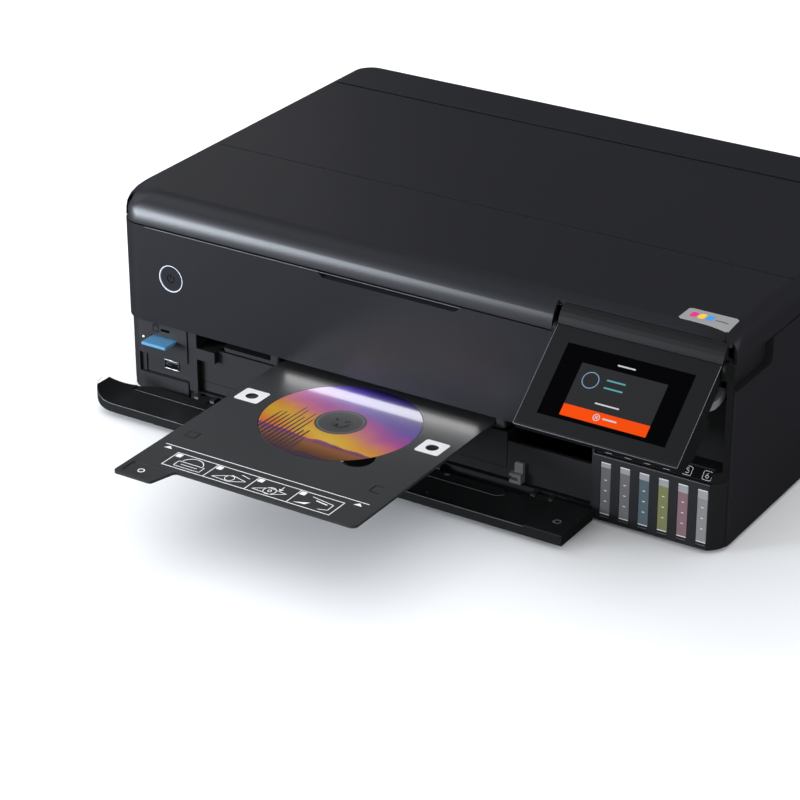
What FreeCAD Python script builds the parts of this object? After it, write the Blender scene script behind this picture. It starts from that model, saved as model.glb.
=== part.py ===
import FreeCAD, Part
import math
import os

from FreeCAD import Vector

# A wide six-ink photo printer that also prints on discs, standing on a table with its
# front cover folded down, its disc tray part way out and its control panel tilted up.
# Millimetres, +Z up, +X to the right as the user sees it, +Y from the front to the rear.
# Inside this file y = 0 is the front panel's face and x = 0 is the middle of the body.
# The finished pieces are moved along Y so that the origin is the middle of the footprint.

# ---------------------------------------------------------------- driving dimensions
# body
BODY_WIDTH = 523.0
HALF = BODY_WIDTH / 2.0
BODY_DEPTH = 352.0            # front panel face to rear cover face
TOP_DEPTH = BODY_DEPTH - 4.0  # front face to the rear edge of the top
TOTAL_DEPTH = BODY_DEPTH + 27.0  # front face to the back of the duplex cover
BODY_HEIGHT = 169.0
FOOT_R = 9.0
FOOT_HEIGHT = 3.4
SHELL = 3.0                   # wall of the moulded covers
FRONT_CORNER = 21.0           # plan radius of the body's front corners
REAR_CORNER = 14.0
LOWER_INSET = 2.0             # how far the lower front sits behind the front panel
SEAM = 0.6                    # visible seam between fixed covers
FIT = 0.3                     # standing clearance between a moving piece and its seat
FEED_SWING = 7.6              # lower edge of the feed cover's back, below its pin
POST_X = HALF - 24.5          # posts that carry the feed cover's pins
POST_WIDTH = 4.0

# split between the body and the lifting top
TOP_HEIGHT = 24.6
RIM_Z = BODY_HEIGHT - TOP_HEIGHT                 # top rim of the body's walls
TOP_GAP = 1.2                 # shadow gap under the document cover
NOSE_RADIUS = 22.0            # bullnose along the front of the top
SIDE_ROUND = 13.0             # rounding along the sides of the top
REAR_ROUND = 9.0
FRONT_MODULE_DEPTH = 15.5     # the front mouldings end here on both sides
GRIP_FRONT = 15.0             # finger recess for lifting the top, in the right side
GRIP_REAR = 75.0
GRIP_BOTTOM = RIM_Z - 19.8
GRIP_DEPTH = 6.0
RIM_LEDGE = 7.0               # inward ledge along the side covers' rims

# hinge of the scanner and the document cover
HINGE_Y = TOP_DEPTH - 58.0
HINGE_Z = BODY_HEIGHT - 5.0
HINGE_PIN_R = 2.0
LUG_X = HALF - 56.5            # the scanner's lugs on the hinge pin, left and right
EAR_X = HALF - 39.5            # the frame's ears beside them
KNUCKLE_X = HALF - 31.5        # the feed cover's knuckles
EYE_R = 3.8                   # eyes of the scanner's hinge arms and the frame's ears
PIN_CLEARANCE = 0.05
BARREL_GAP = 0.5              # between the cover's rounded back edge and the feed cover
GROOVE_Y = 121.8              # styling groove across the document cover
GROOVE_WIDTH = 1.0
GROOVE_DEPTH = 0.8

# document cover and scanner
PLATEN_TOP = RIM_Z + 5.9
PLATEN_THICK = 5.6
GLASS_LENGTH = 312.0
GLASS_WIDTH = 226.0
GLASS_THICK = 3.0
TUB_FRONT = 36.0
TUB_REAR = HINGE_Y - 10.0
TUB_HALF = HALF - 25.5
TUB_BOTTOM = RIM_Z - 23.4
TUB_WALL = 2.5
PAD_THICK = 1.6

# front panel
PANEL_BOTTOM = 64.1
SCOOP_LEFT = -75.0            # finger scoop in the panel's top edge
SCOOP_RIGHT = 51.0
SCOOP_DROP = 4.6
SCOOP_DEPTH = 9.0
BUTTON_X = -(HALF - 51.4)
BUTTON_Z = RIM_Z - 38.7
RING_R = 11.24                # middle of the lit ring round the power button
RING_WIDTH = 1.5

# lower front: card reader panel, pillars and slots
CARD_PANEL_RIGHT = -(HALF - 62.7)
CARD_PANEL_BOTTOM = 35.0
CARD_X = -(HALF - 40.55)
CARD_WIDTH = 23.3
CARD_LENGTH = 32.0
CARD_THICK = 2.4
CARD_OUT = 12.0
CARD_Z = 51.0
USB_X = -(HALF - 44.7)
USB_Z = 28.2
USB_WIDTH = 14.4
USB_HEIGHT = 7.8
USB_DEPTH = 14.0
USB_RECESS = 4.0

# paper bay
BAY_LEFT = -(HALF - 71.5)
BAY_RIGHT = HALF - 103.5
FACE_Y = 8.0                  # front faces of the cassettes
CASSETTE_FLOOR = 13.4
CASSETTE_SPLIT = 21.2         # line between the two cassettes
CASSETTE_TOP = 50.5
CASSETTE_NOTCH_X = BAY_LEFT + 17.0
CASSETTE_NOTCH_Z = 40.8
UPPER_RIGHT = BAY_RIGHT - 72.0  # right end of the upper cassette's face
RIGHT_FACE_TOP = 43.6         # the lower cassette's raised face on the right
CASSETTE_DEPTH = 300.0
TRAY_WALL = 2.0
OUTPUT_THICK = 2.9
OUTPUT_DEPTH = 190.0

# front cover
COVER_LEFT = -HALF + 0.5
COVER_RIGHT = BAY_RIGHT + 5.0
COVER_HINGE_Y = 0.5
COVER_HINGE_Z = 8.8
COVER_REACH = 47.0            # front edge of the folded cover, in front of y = 0
COVER_TOP = 10.4
COVER_THICK = 3.2
COVER_CORNER = 20.0           # plan radius of the cover's free left corner
COVER_RIM = 2.0
COVER_CURL = 9.0              # rise of the cover's left end, which wraps the body corner
COVER_CURL_RUN = 26.0         # length of the curled stretch
COVER_LINE_Y = -16.0
BLOCK_LEFT = COVER_RIGHT - 31.5  # raised end block with the cover's pivot
BLOCK_TOP = 13.0
LATCH_X = UPPER_RIGHT + 12.0  # two-pronged latch on the lower cassette's face

# disc tray and disc
DISC_X = -18.8
DISC_Y = -53.7
DISC_R = 60.0
DISC_THICK = 1.2
HUB_RISE = 0.3                # hub's top above the disc
DISC_HOLE_R = 7.5
TRAY_TOP = 56.8
TRAY_THICK = 2.2
TRAY_LEFT = -113.7
TRAY_RIGHT = 75.9
TRAY_FRONT = -179.5
TAB_FRONT = -201.0
TAB_RIGHT = -81.0
TRAY_REAR = 60.0
MARK_HALF = 9.6               # raised white aiming squares on the tray
MARK_HOLE_R = 4.8
MARK_Y = -52.3

# control panel
PANEL_LEFT_X = HALF - 132.0
PANEL_RIGHT_X = HALF - 4.0
PANEL_TILT = 50.0             # degrees from the vertical, as it stands
TILT_PIVOT_Y = 4.4
TILT_PIVOT_Z = BODY_HEIGHT - 22.8
TILT_BARREL_R = 6.2
PANEL_LENGTH = 80.2           # along the slope, below the hinge seam
PANEL_THICK = 20.0
GLASS_LEFT_X = PANEL_LEFT_X + 13.9
GLASS_RIGHT_X = PANEL_RIGHT_X - 14.8
GLASS_UPPER = 11.4            # distances down the slope from the hinge seam
GLASS_LOWER = 67.9
STAY_R = 27.0                 # arc-shaped stays, concentric with the tilt pivot
STAY_WIDTH = 5.0
POCKET_Y = 23.0               # back wall of the pocket behind the panel
POCKET_FLOOR = TILT_PIVOT_Z - PANEL_LENGTH - 1.0
CHEEK = 2.4                   # walls either side of the panel that hold its pivot pin
STRIP_DEPTH = 8.6             # fixed strip over the panel's hinge
WEB_BACK = 13.6               # web that carries the strip

# ink tanks
TANK_COUNT = 6
TANK_PITCH = 15.39
WINDOW_FIRST = HALF - 95.8
WINDOW_WIDTH = 8.11
WINDOW_BOTTOM = 8.4
WINDOW_TOP = 50.8
TANK_WIDTH = 13.6
TANK_DEPTH = 92.0
TANK_TOP = 98.0
LEDGE_Z = 56.2
HOUSING_FRONT = 3.5
HOUSING_LEFT = HALF - 101.0
CAP_SIDES = 12                # flats that give the caps their grip
CAP_R = 5.4
CAP_HEIGHT = 12.0

# print mechanism
PATH_GAP = 0.5                # air over the disc tray
RAIL_Y = 119.0
RAIL_Z = 64.0
RAIL_HEIGHT = 34.0
CARRIAGE_WIDTH = 88.0
CARRIAGE_HOME = BAY_RIGHT - 6.0  # right side of the carriage at rest
PULLEY_R = 8.0
BELT_THICK = 1.2
BELT_Y = 128.0
BELT_WIDTH = 6.0
FEED_R = 8.0
FEED_Y = 150.0
EJECT_R = 6.0
EJECT_Y = 45.0
EJECT_WHEELS = 7

# ---------------------------------------------------------------- values worked out
COVER_BOTTOM = RIM_Z + TOP_GAP
TABLE_SHIFT = -(TOTAL_DEPTH + TAB_FRONT) / 2.0
TANK_X = [WINDOW_FIRST + WINDOW_WIDTH / 2.0 + i * TANK_PITCH for i in range(TANK_COUNT)]
PATH_TOP = TRAY_TOP + PATH_GAP
TRAY_BOTTOM = TRAY_TOP - TRAY_THICK
OUTPUT_TOP = TRAY_BOTTOM - FIT
OUTPUT_BOTTOM = OUTPUT_TOP - OUTPUT_THICK
FLOOR_TOP = CASSETTE_FLOOR - FIT - 0.8
PARTS = {}


# ---------------------------------------------------------------- modelling helpers
def box(x0, y0, z0, x1, y1, z1):
    """Block between two opposite corners."""
    return Part.makeBox(x1 - x0, y1 - y0, z1 - z0, Vector(x0, y0, z0))


def rod(start, axis, radius, length):
    """Cylinder from a start point along X, Y or Z."""
    ways = {"x": Vector(1, 0, 0), "y": Vector(0, 1, 0), "z": Vector(0, 0, 1)}
    return Part.makeCylinder(radius, length, Vector(*start), ways[axis])


def polygon_rod(start, axis, radius, length, sides=24):
    """Rod with flat sides, for small pieces that need few facets."""
    x, y, z = start
    corners = [(radius * math.cos(2 * math.pi * i / sides), radius * math.sin(2 * math.pi * i / sides), 0)
               for i in range(sides)]
    if axis == "x":
        return side_slab([(y + a, z + b, 0) for a, b, r in corners], x, x + length)
    if axis == "y":
        return front_slab([(x + a, z + b, 0) for a, b, r in corners], y, y + length)
    return plan_slab([(x + a, y + b, 0) for a, b, r in corners], z, z + length)


def tube(start, axis, radius, bore, length):
    return rod(start, axis, radius, length).cut(rod(start, axis, bore, length))


def outline(corners, place):
    """Closed wire through corners (u, v, radius), each rounded by a tangent arc."""
    count = len(corners)
    ends = []
    for i in range(count):
        u, v, radius = corners[i]
        before = corners[i - 1]
        after = corners[(i + 1) % count]
        if radius <= 0:
            ends.append((place(u, v), None, place(u, v)))
            continue
        au, av = before[0] - u, before[1] - v
        bu, bv = after[0] - u, after[1] - v
        la, lb = math.hypot(au, av), math.hypot(bu, bv)
        au, av, bu, bv = au / la, av / la, bu / lb, bv / lb
        half = math.acos(max(-1.0, min(1.0, au * bu + av * bv))) / 2.0
        reach = radius / math.tan(half)
        mu, mv = au + bu, av + bv
        lm = math.hypot(mu, mv)
        to_middle = radius / math.sin(half) - radius
        middle = place(u + mu / lm * to_middle, v + mv / lm * to_middle)
        ends.append((place(u + au * reach, v + av * reach), middle, place(u + bu * reach, v + bv * reach)))
    edges = []
    for i in range(count):
        first, middle, last = ends[i]
        if middle is not None:
            edges.append(Part.Arc(first, middle, last).toShape())
        following = ends[(i + 1) % count][0]
        if last.distanceToPoint(following) > 1e-6:
            edges.append(Part.makeLine(last, following))
    return Part.Wire(edges)


def plan_slab(corners, z0, z1):
    """Prism standing on z0, from an outline seen from above."""
    wire = outline(corners, lambda u, v: Vector(u, v, z0))
    return Part.Face(wire).extrude(Vector(0, 0, z1 - z0))


def side_slab(corners, x0, x1):
    """Prism along X, from a section in Y and Z."""
    wire = outline(corners, lambda u, v: Vector(x0, u, v))
    return Part.Face(wire).extrude(Vector(x1 - x0, 0, 0))


def front_slab(corners, y0, y1):
    """Prism along Y, from an outline in X and Z."""
    wire = outline(corners, lambda u, v: Vector(u, y0, v))
    return Part.Face(wire).extrude(Vector(0, y1 - y0, 0))


def rectangle(u0, v0, u1, v1, radius=0.0):
    return [(u0, v0, radius), (u1, v0, radius), (u1, v1, radius), (u0, v1, radius)]


def fuse(first, *others):
    result = first
    for other in others:
        result = result.fuse(other)
    return result.removeSplitter()


def keep(name, shape):
    """Store a finished piece under its node's name."""
    PARTS[name] = shape


# ---------------------------------------------------------------- outer forms
def top_section(z, inset=0.0):
    """Plan outline of the rounded top at height z, pulled in by an even inset."""
    def rounding(radius):
        rise = max(0.0, z - (BODY_HEIGHT - radius))
        return radius - math.sqrt(max(radius * radius - rise * rise, 0.0)) + inset

    front = rounding(NOSE_RADIUS - 0.4)
    side = rounding(SIDE_ROUND - 0.4)
    rear = rounding(REAR_ROUND - 0.4)
    front_r = FRONT_CORNER - inset + 0.5 * side
    rear_r = max(REAR_CORNER - inset, 2.0)
    x = HALF - side
    corners = [(-x, front, front_r), (x, front, front_r),
               (x, TOP_DEPTH - rear, rear_r), (-x, TOP_DEPTH - rear, rear_r)]
    return outline(corners, lambda u, v: Vector(u, v, z))


def top_form(inset=0.0, ceiling=BODY_HEIGHT):
    """The whole rounded top as a loft of plan sections, front bullnose to rear edge."""
    steps = 7
    drop = NOSE_RADIUS - 0.4
    heights = [ceiling - drop + drop * math.sin(i * math.pi / 2.0 / steps) for i in range(steps)]
    heights.append(ceiling - 0.05)
    wires = [top_section(z + BODY_HEIGHT - ceiling, inset) for z in heights]
    for wire, z in zip(wires, heights):
        wire.translate(Vector(0, 0, z - wire.BoundBox.ZMin))
    rounded = Part.makeLoft(wires, True, True)
    base = plan_slab(top_corners(inset), COVER_BOTTOM, heights[0])
    return base.fuse(rounded)


def top_corners(inset=0.0):
    x = HALF - inset
    front_r = FRONT_CORNER - inset
    rear_r = max(REAR_CORNER - inset, 2.0)
    return [(-x, inset, front_r), (x, inset, front_r),
            (x, TOP_DEPTH - inset, rear_r), (-x, TOP_DEPTH - inset, rear_r)]


def body_slab(z0, z1, inset=0.0, rear=BODY_DEPTH):
    """Prism with the body's plan outline."""
    x = HALF - inset
    front_r = max(FRONT_CORNER - inset, 2.0)
    rear_r = max(REAR_CORNER - inset, 2.0)
    corners = [(-x, inset, front_r), (x, inset, front_r), (x, rear - inset, rear_r),
               (-x, rear - inset, rear_r)]
    return plan_slab(corners, z0, z1)


def body_shell(z0, z1, inset=0.0):
    """Ring-shaped wall of the body between two heights."""
    return body_slab(z0, z1, inset).cut(body_slab(z0 - 1, z1 + 1, inset + SHELL))


# ---------------------------------------------------------------- document cover
def panel_notch(gap):
    """Room in the top's front right corner for the control panel's fixed hinge cover."""
    left = PANEL_LEFT_X - CHEEK - 1.0 - gap
    low = RIM_Z - 5
    nose = box(left, -5, low, HALF + 5, STRIP_DEPTH + gap, BODY_HEIGHT + 5)
    under = box(left, -5, low, HALF + 5, WEB_BACK + gap, COVER_BOTTOM + 9.0 + gap)
    corner = box(PANEL_RIGHT_X, -5, low, HALF + 5, FRONT_MODULE_DEPTH + gap, BODY_HEIGHT + 5)
    return nose.fuse(under).fuse(corner)


def hinge_barrel(radius, x0, x1):
    return rod((x0, HINGE_Y, HINGE_Z), "x", radius, x1 - x0)


def hinge_lug_spans():
    """X ranges of the scanner's two lugs and the frame's two ears on the hinge pin."""
    lugs = [(side * LUG_X - 8.0, side * LUG_X + 8.0) for side in (-1, 1)]
    ears = [(side * EAR_X - 6.0, side * EAR_X + 6.0) for side in (-1, 1)]
    return lugs, ears


def cover_hollow(front, rear):
    """Room inside a top cover: its walls follow the roundings in straight bevels."""
    x = HALF - SHELL
    roof, bottom = BODY_HEIGHT - SHELL, COVER_BOTTOM - 2
    across = front_slab([(-x, bottom, 0), (x, bottom, 0), (x, roof - 8, 0), (x - 8, roof, 0),
                         (-x + 8, roof, 0),
                         (-x, roof - 8, 0)], front, rear)
    along = side_slab([(front, bottom, 0), (rear, bottom, 0), (rear, roof, 0), (front + 15, roof, 0),
                       (front + 5, roof - 5, 0), (front, roof - 15, 0)], -HALF, HALF)
    return across.common(along)


def document_cover():
    barrel = BODY_HEIGHT - HINGE_Z
    back = HINGE_Y + barrel
    side = [(-1, COVER_BOTTOM - 1, 0), (-1, BODY_HEIGHT + 1, 0), (HINGE_Y, BODY_HEIGHT + 1, 0),
            (HINGE_Y, BODY_HEIGHT, 0),
            (back, BODY_HEIGHT, barrel * 0.999), (back, HINGE_Z - barrel, barrel * 0.999),
            (HINGE_Y - barrel, HINGE_Z - barrel, 0), (HINGE_Y - barrel, COVER_BOTTOM - 1, 0)]
    shell = top_form().common(side_slab(side, -HALF - 1, HALF + 1))
    hollow = cover_hollow(SHELL, HINGE_Y - barrel - 1.5)
    low = box(-HALF + SHELL, SHELL, COVER_BOTTOM - 2, HALF - SHELL, HINGE_Y + 30, PLATEN_TOP + 0.7)
    shell = shell.cut(hollow).cut(low.common(body_slab(COVER_BOTTOM - 3, PLATEN_TOP + 5, SHELL)))
    shell = shell.cut(box(-HALF + SHELL, HINGE_Y - 30, COVER_BOTTOM - 2, HALF - SHELL, HINGE_Y + 30,
                          PLATEN_TOP + 0.7))
    shell = shell.cut(panel_notch(SEAM + 0.6))
    groove = box(-HALF, GROOVE_Y - GROOVE_WIDTH / 2, BODY_HEIGHT - GROOVE_DEPTH, HALF,
                 GROOVE_Y + GROOVE_WIDTH / 2,
                 BODY_HEIGHT + 1)
    shell = shell.cut(groove)
    shell = shell.cut(hinge_barrel(HINGE_PIN_R + PIN_CLEARANCE, -HALF + 20, HALF - 20))
    lugs, ears = hinge_lug_spans()
    for x0, x1 in lugs + ears:
        shell = shell.cut(box(x0 - 1.5, HINGE_Y - 12, COVER_BOTTOM - 3, x1 + 1.5, HINGE_Y + 12,
                              HINGE_Z + EYE_R + 0.5))
    keep("document_cover", shell.removeSplitter())


def cover_liner():
    """Inner panel of the document cover with its stiffening ribs, and the white backing pad."""
    x = HALF - SHELL - FIT
    y0 = 26.0
    y1 = HINGE_Y - 14.0
    z0 = PLATEN_TOP + 0.7 + PAD_THICK
    roof = BODY_HEIGHT - SHELL - FIT
    plate = box(-x + 14, y0, z0, x - 14, y1, z0 + 2.0)
    ribs = plate
    for i in range(7):
        rib_x = -210.0 + i * 70.0
        ribs = ribs.fuse(box(rib_x, y0, z0 + 2.0, rib_x + 1.6, y1, roof))
    for i in range(4):
        rib_y = y0 + 6.0 + i * 78.0
        ribs = ribs.fuse(box(-210.0, rib_y, z0 + 2.0, 211.6, rib_y + 1.6, roof))
    pad = plan_slab(rectangle(-170, 32, 170, HINGE_Y - 18, 6.0), z0 - PAD_THICK + FIT, z0)
    keep("cover_liner", ribs.fuse(pad).removeSplitter())


def rear_feed_cover():
    """Lid over the rear paper feed, hinged along its back edge."""
    front_edge = HINGE_Y + BODY_HEIGHT - HINGE_Z + BARREL_GAP
    pin_y, pin_z = feed_hinge()
    form = top_form()
    shell = form.common(box(-HALF - 1, front_edge, COVER_BOTTOM - 1, HALF + 1, TOP_DEPTH + 1,
                            BODY_HEIGHT + 1))
    x, roof, back = HALF - SHELL, BODY_HEIGHT - SHELL, TOP_DEPTH - SHELL
    hollow = front_slab([(-x, COVER_BOTTOM - 2, 0), (x, COVER_BOTTOM - 2, 0), (x, roof - 8, 0),
                         (x - 8, roof, 0),
                         (-x + 8, roof, 0), (-x, roof - 8, 0)], front_edge + SHELL, back)
    hollow = hollow.common(side_slab([(front_edge, COVER_BOTTOM - 2, 0), (back, COVER_BOTTOM - 2, 0),
                                      (back, roof - 5, 0),
                                      (back - 5, roof, 0), (front_edge, roof, 0)], -HALF, HALF))
    hollow = hollow.common(body_slab(COVER_BOTTOM - 3, BODY_HEIGHT, SHELL, TOP_DEPTH))
    shell = shell.cut(hollow)
    shell = shell.cut(box(-HALF - 1, pin_y - SHELL, COVER_BOTTOM - 2, HALF + 1, TOP_DEPTH + 1,
                          pin_z - FEED_SWING))
    for side in (-1, 1):
        x0 = side * KNUCKLE_X - 5.0
        knuckle = side_slab([(pin_y - 4, pin_z - 4, 3.9), (pin_y + 4, pin_z - 4, 3.9),
                             (pin_y + 4, BODY_HEIGHT - 2, 0), (pin_y - 4, BODY_HEIGHT - 2, 0)], x0, x0 + 10)
        shell = shell.fuse(knuckle.common(form))
        shell = shell.cut(rod((x0 - 1, pin_y, pin_z), "x", HINGE_PIN_R + PIN_CLEARANCE, 12))
        post_x = side * (POST_X + POST_WIDTH / 2)
        slot = POST_WIDTH / 2 + 0.8
        shell = shell.cut(box(post_x - slot, pin_y - 2, COVER_BOTTOM - 2, post_x + slot, TOP_DEPTH + 1,
                              pin_z + 7))
    keep("rear_feed_cover", shell.removeSplitter())


def feed_hinge():
    """Pin of the rear feed cover, in Y and Z."""
    return TOP_DEPTH - 7.0, BODY_HEIGHT - 14.0


# ---------------------------------------------------------------- scanner unit
def platen_frame():
    z1 = PLATEN_TOP
    z0 = z1 - PLATEN_THICK
    x = HALF - SHELL - 0.6
    rear = HINGE_Y - 6.5
    gap = SHELL + 0.6
    plate = plan_slab([(-x, gap, FRONT_CORNER - gap), (x, gap, FRONT_CORNER - gap), (x, rear, 4),
                       (-x, rear, 4)], z0, z1)
    plate = plate.cut(panel_notch(SEAM + 0.8))
    glass_x0 = -GLASS_LENGTH / 2
    glass_y0 = 44.0
    window = plan_slab(rectangle(glass_x0 + 3, glass_y0 + 3, glass_x0 + GLASS_LENGTH - 3,
                                 glass_y0 + GLASS_WIDTH - 3, 3),
                       z0 - 1, z1 + 1)
    seat = box(glass_x0, glass_y0, z1 - GLASS_THICK, glass_x0 + GLASS_LENGTH, glass_y0 + GLASS_WIDTH,
               z1 + 1)
    plate = plate.cut(window).cut(seat)
    bore = HINGE_PIN_R + PIN_CLEARANCE
    lugs, ears = hinge_lug_spans()
    for x0, x1 in lugs:
        arm = side_slab([(rear - 18, z0, 0), (HINGE_Y - 1, z0, 1.5), (HINGE_Y + EYE_R, HINGE_Z - 3, 1.5),
                         (HINGE_Y + EYE_R, HINGE_Z + EYE_R, EYE_R * 0.99),
                         (HINGE_Y - EYE_R, HINGE_Z + EYE_R, EYE_R * 0.99),
                         (HINGE_Y - EYE_R, z1, 0),
                         (rear - 18, z1, 0)], x0, x1)
        plate = plate.fuse(arm).cut(rod((x0 - 1, HINGE_Y, HINGE_Z), "x", bore, x1 - x0 + 2))
    keep("platen_frame", plate.removeSplitter())
    glass = box(glass_x0 + 0.1, glass_y0 + 0.1, z1 - GLASS_THICK, glass_x0 + GLASS_LENGTH - 0.1,
                glass_y0 + GLASS_WIDTH - 0.1, z1)
    keep("scanner_glass", glass)


def scanner_tub():
    """Tray under the platen with the rail of the scan bar."""
    z1 = PLATEN_TOP - PLATEN_THICK
    outer = plan_slab(rectangle(-TUB_HALF, TUB_FRONT, TUB_HALF, TUB_REAR, 6), TUB_BOTTOM, z1)
    outer = outer.makeChamfer(2.0, [e for e in outer.Edges if e.BoundBox.ZMax < TUB_BOTTOM + 0.01])
    inner = plan_slab(rectangle(-TUB_HALF + TUB_WALL, TUB_FRONT + TUB_WALL, TUB_HALF - TUB_WALL,
                                TUB_REAR - TUB_WALL, 4),
                      TUB_BOTTOM + TUB_WALL, z1 + 1)
    tub = outer.cut(inner)
    for i in range(3):
        rib_x = -150.0 + i * 150.0
        tub = tub.fuse(box(rib_x, TUB_FRONT + 1, TUB_BOTTOM + TUB_WALL, rib_x + 2, TUB_REAR - 1,
                           TUB_BOTTOM + 6))
    middle_y = (TUB_FRONT + TUB_REAR) / 2
    rail = polygon_rod((-TUB_HALF + TUB_WALL, middle_y, TUB_BOTTOM + 10), "x", 3.0,
                       2 * (TUB_HALF - TUB_WALL), 16)
    keep("scanner_tub", tub.fuse(rail).removeSplitter())
    front, rear = TUB_FRONT + 14, TUB_REAR - 16
    bar = side_slab([(front, TUB_BOTTOM + 14, 1.5), (rear, TUB_BOTTOM + 14, 1.5), (rear, z1 - 0.4, 1.5),
                     (front, z1 - 0.4, 1.5)],
                    -172, -154)
    saddle = box(-176, middle_y - 9, TUB_BOTTOM + 7, -150, middle_y + 9, TUB_BOTTOM + 16)
    bar = bar.fuse(saddle).cut(rod((-180, middle_y, TUB_BOTTOM + 10), "x", 3.0 + PIN_CLEARANCE, 40))
    keep("scan_bar", bar.removeSplitter())


# ---------------------------------------------------------------- body covers
def base_chassis():
    """Lower case: floor with ribs, bay walls and the front sill."""
    floor = body_slab(FLOOR_TOP - 2.4, FLOOR_TOP, LOWER_INSET + 1.5, BODY_DEPTH - 1)
    floor = floor.cut(box(-HALF, -1, 0, HALF, 16.5, FLOOR_TOP + 1))
    skirt = body_slab(FOOT_HEIGHT, FLOOR_TOP, SHELL + FIT).cut(body_slab(FOOT_HEIGHT - 1, FLOOR_TOP + 1,
                                                                         SHELL + 3.0))
    skirt = skirt.cut(box(-HALF, -1, 0, HALF, 16.5, FLOOR_TOP + 1))
    base = floor.fuse(skirt)
    for i in range(5):
        rib_x = -220.0 + i * 110.0
        base = base.fuse(box(rib_x, 17, FOOT_HEIGHT, rib_x + 2.0, BODY_DEPTH - 7, FLOOR_TOP - 1))
    for i in range(3):
        rib_y = 17.0 + i * 150.0
        base = base.fuse(box(-HALF + 6, rib_y, FOOT_HEIGHT, HALF - 6, rib_y + 2.0, FLOOR_TOP - 1))
    tank_room = box(HOUSING_LEFT - FIT, -1, 0, HALF, 19.8, FLOOR_TOP + 1)
    base = base.cut(tank_room)
    top = RAIL_Z + RAIL_HEIGHT + 4.0
    for x0 in (BAY_LEFT - 3.4, BAY_RIGHT + 0.6):
        wall = side_slab([(30.3, FLOOR_TOP - 1, 0), (BODY_DEPTH - 42, FLOOR_TOP - 1, 0),
                          (BODY_DEPTH - 42, 70, 8), (180, top, 10), (100, top, 4),
                          (60, PANEL_BOTTOM + 14, 8), (30.3, PANEL_BOTTOM - 3, 4)], x0, x0 + 2.4)
        base = base.fuse(wall)
    keep("base_chassis", base.fuse(cover_sill()).removeSplitter())


def feet():
    foot_x, rear_y = HALF - 36.5, BODY_DEPTH - 27.0
    places = [(x, y) for x in (-foot_x, foot_x) for y in (45, rear_y)] + [(0, rear_y),
                                                                          (foot_x - 4, rear_y / 2 + 13.5)]
    keep("feet", Part.Compound([polygon_rod((x, y, 0), "z", FOOT_R, FOOT_HEIGHT) for x, y in places]))


def side_cover(side):
    """Left (-1) or right (1) wall, from the front module's seam to the rear cover."""
    wall = body_shell(FOOT_HEIGHT, RIM_Z)
    y0 = FRONT_MODULE_DEPTH + SEAM / 2
    half_space = box(0, y0, 0, HALF + 1, BODY_DEPTH - REAR_CORNER, RIM_Z + 1)
    if side < 0:
        half_space = half_space.mirror(Vector(0, 0, 0), Vector(1, 0, 0))
    wall = wall.common(half_space)
    face_x = side * HALF
    rim_x = face_x - side * RIM_LEDGE
    rim = box(min(face_x, rim_x), y0, RIM_Z - 3, max(face_x, rim_x), BODY_DEPTH - REAR_CORNER, RIM_Z)
    wall = wall.fuse(rim)
    for i in range(4):
        rib_y = 95.0 + i * 60.0
        x0 = face_x - side * 7.0
        wall = wall.fuse(box(min(x0, face_x - side), rib_y, FLOOR_TOP + 3, max(x0, face_x - side),
                             rib_y + 2.0, RIM_Z - 2))
    if side > 0:
        wall = wall.cut(grip_recess(1.6)).fuse(grip_pan())
    return wall.removeSplitter()


def grip_recess(extra):
    """Finger recess under the top's right edge; extra widens it for the pan's wall."""
    y0, y1, z0 = GRIP_FRONT - extra, GRIP_REAR + extra, GRIP_BOTTOM - extra
    corners = [(y0, RIM_Z + 5, 0), (y1, RIM_Z + 5, 0), (y1, z0, 5), (y0, z0, 5)]
    return side_slab(corners, HALF - GRIP_DEPTH - extra, HALF + 5)


def grip_pan():
    pan = grip_recess(1.6).cut(grip_recess(0.0))
    limits = box(HALF - 20, FRONT_MODULE_DEPTH + SEAM / 2, 100, HALF, 90, RIM_Z)
    return pan.common(limits)


def rear_cover():
    """Rear wall with ventilation slots and a recess for the inlet and ports."""
    wall = body_shell(FOOT_HEIGHT, RIM_Z)
    wall = wall.common(box(-HALF - 1, BODY_DEPTH - REAR_CORNER + SEAM, 0, HALF + 1, BODY_DEPTH + 1,
                           RIM_Z + 1))
    for i in range(12):
        x0 = 120.0 + i * 7.0
        slot = front_slab(rectangle(x0, 95, x0 + 3.0, 125), BODY_DEPTH - SHELL - 1, BODY_DEPTH + 1)
        wall = wall.cut(slot)
    for x0, z0, width, height in rear_port_windows():
        wall = wall.cut(box(x0 - 0.2, BODY_DEPTH - SHELL - 1, z0 - 0.2, x0 + width + 0.2, BODY_DEPTH + 1,
                            z0 + height + 0.2))
    low, high, reach = duplex_window()
    wall = wall.cut(box(low - FIT, BODY_DEPTH - SHELL - 1, 24 - FIT, high + FIT, BODY_DEPTH + 1,
                        reach + FIT))
    keep("rear_cover", wall.removeSplitter())


def rear_port_windows():
    """x, z, width and height of the power inlet, the USB socket and the network socket."""
    return [(-HALF + 33.5, 22.0, 26.0, 20.0), (HALF - 65.5, 40.0, 13.0, 12.0),
            (HALF - 46.5, 38.0, 17.0, 15.0)]


def duplex_window():
    return -150.0, 110.0, RIM_Z - 26.4


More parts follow.
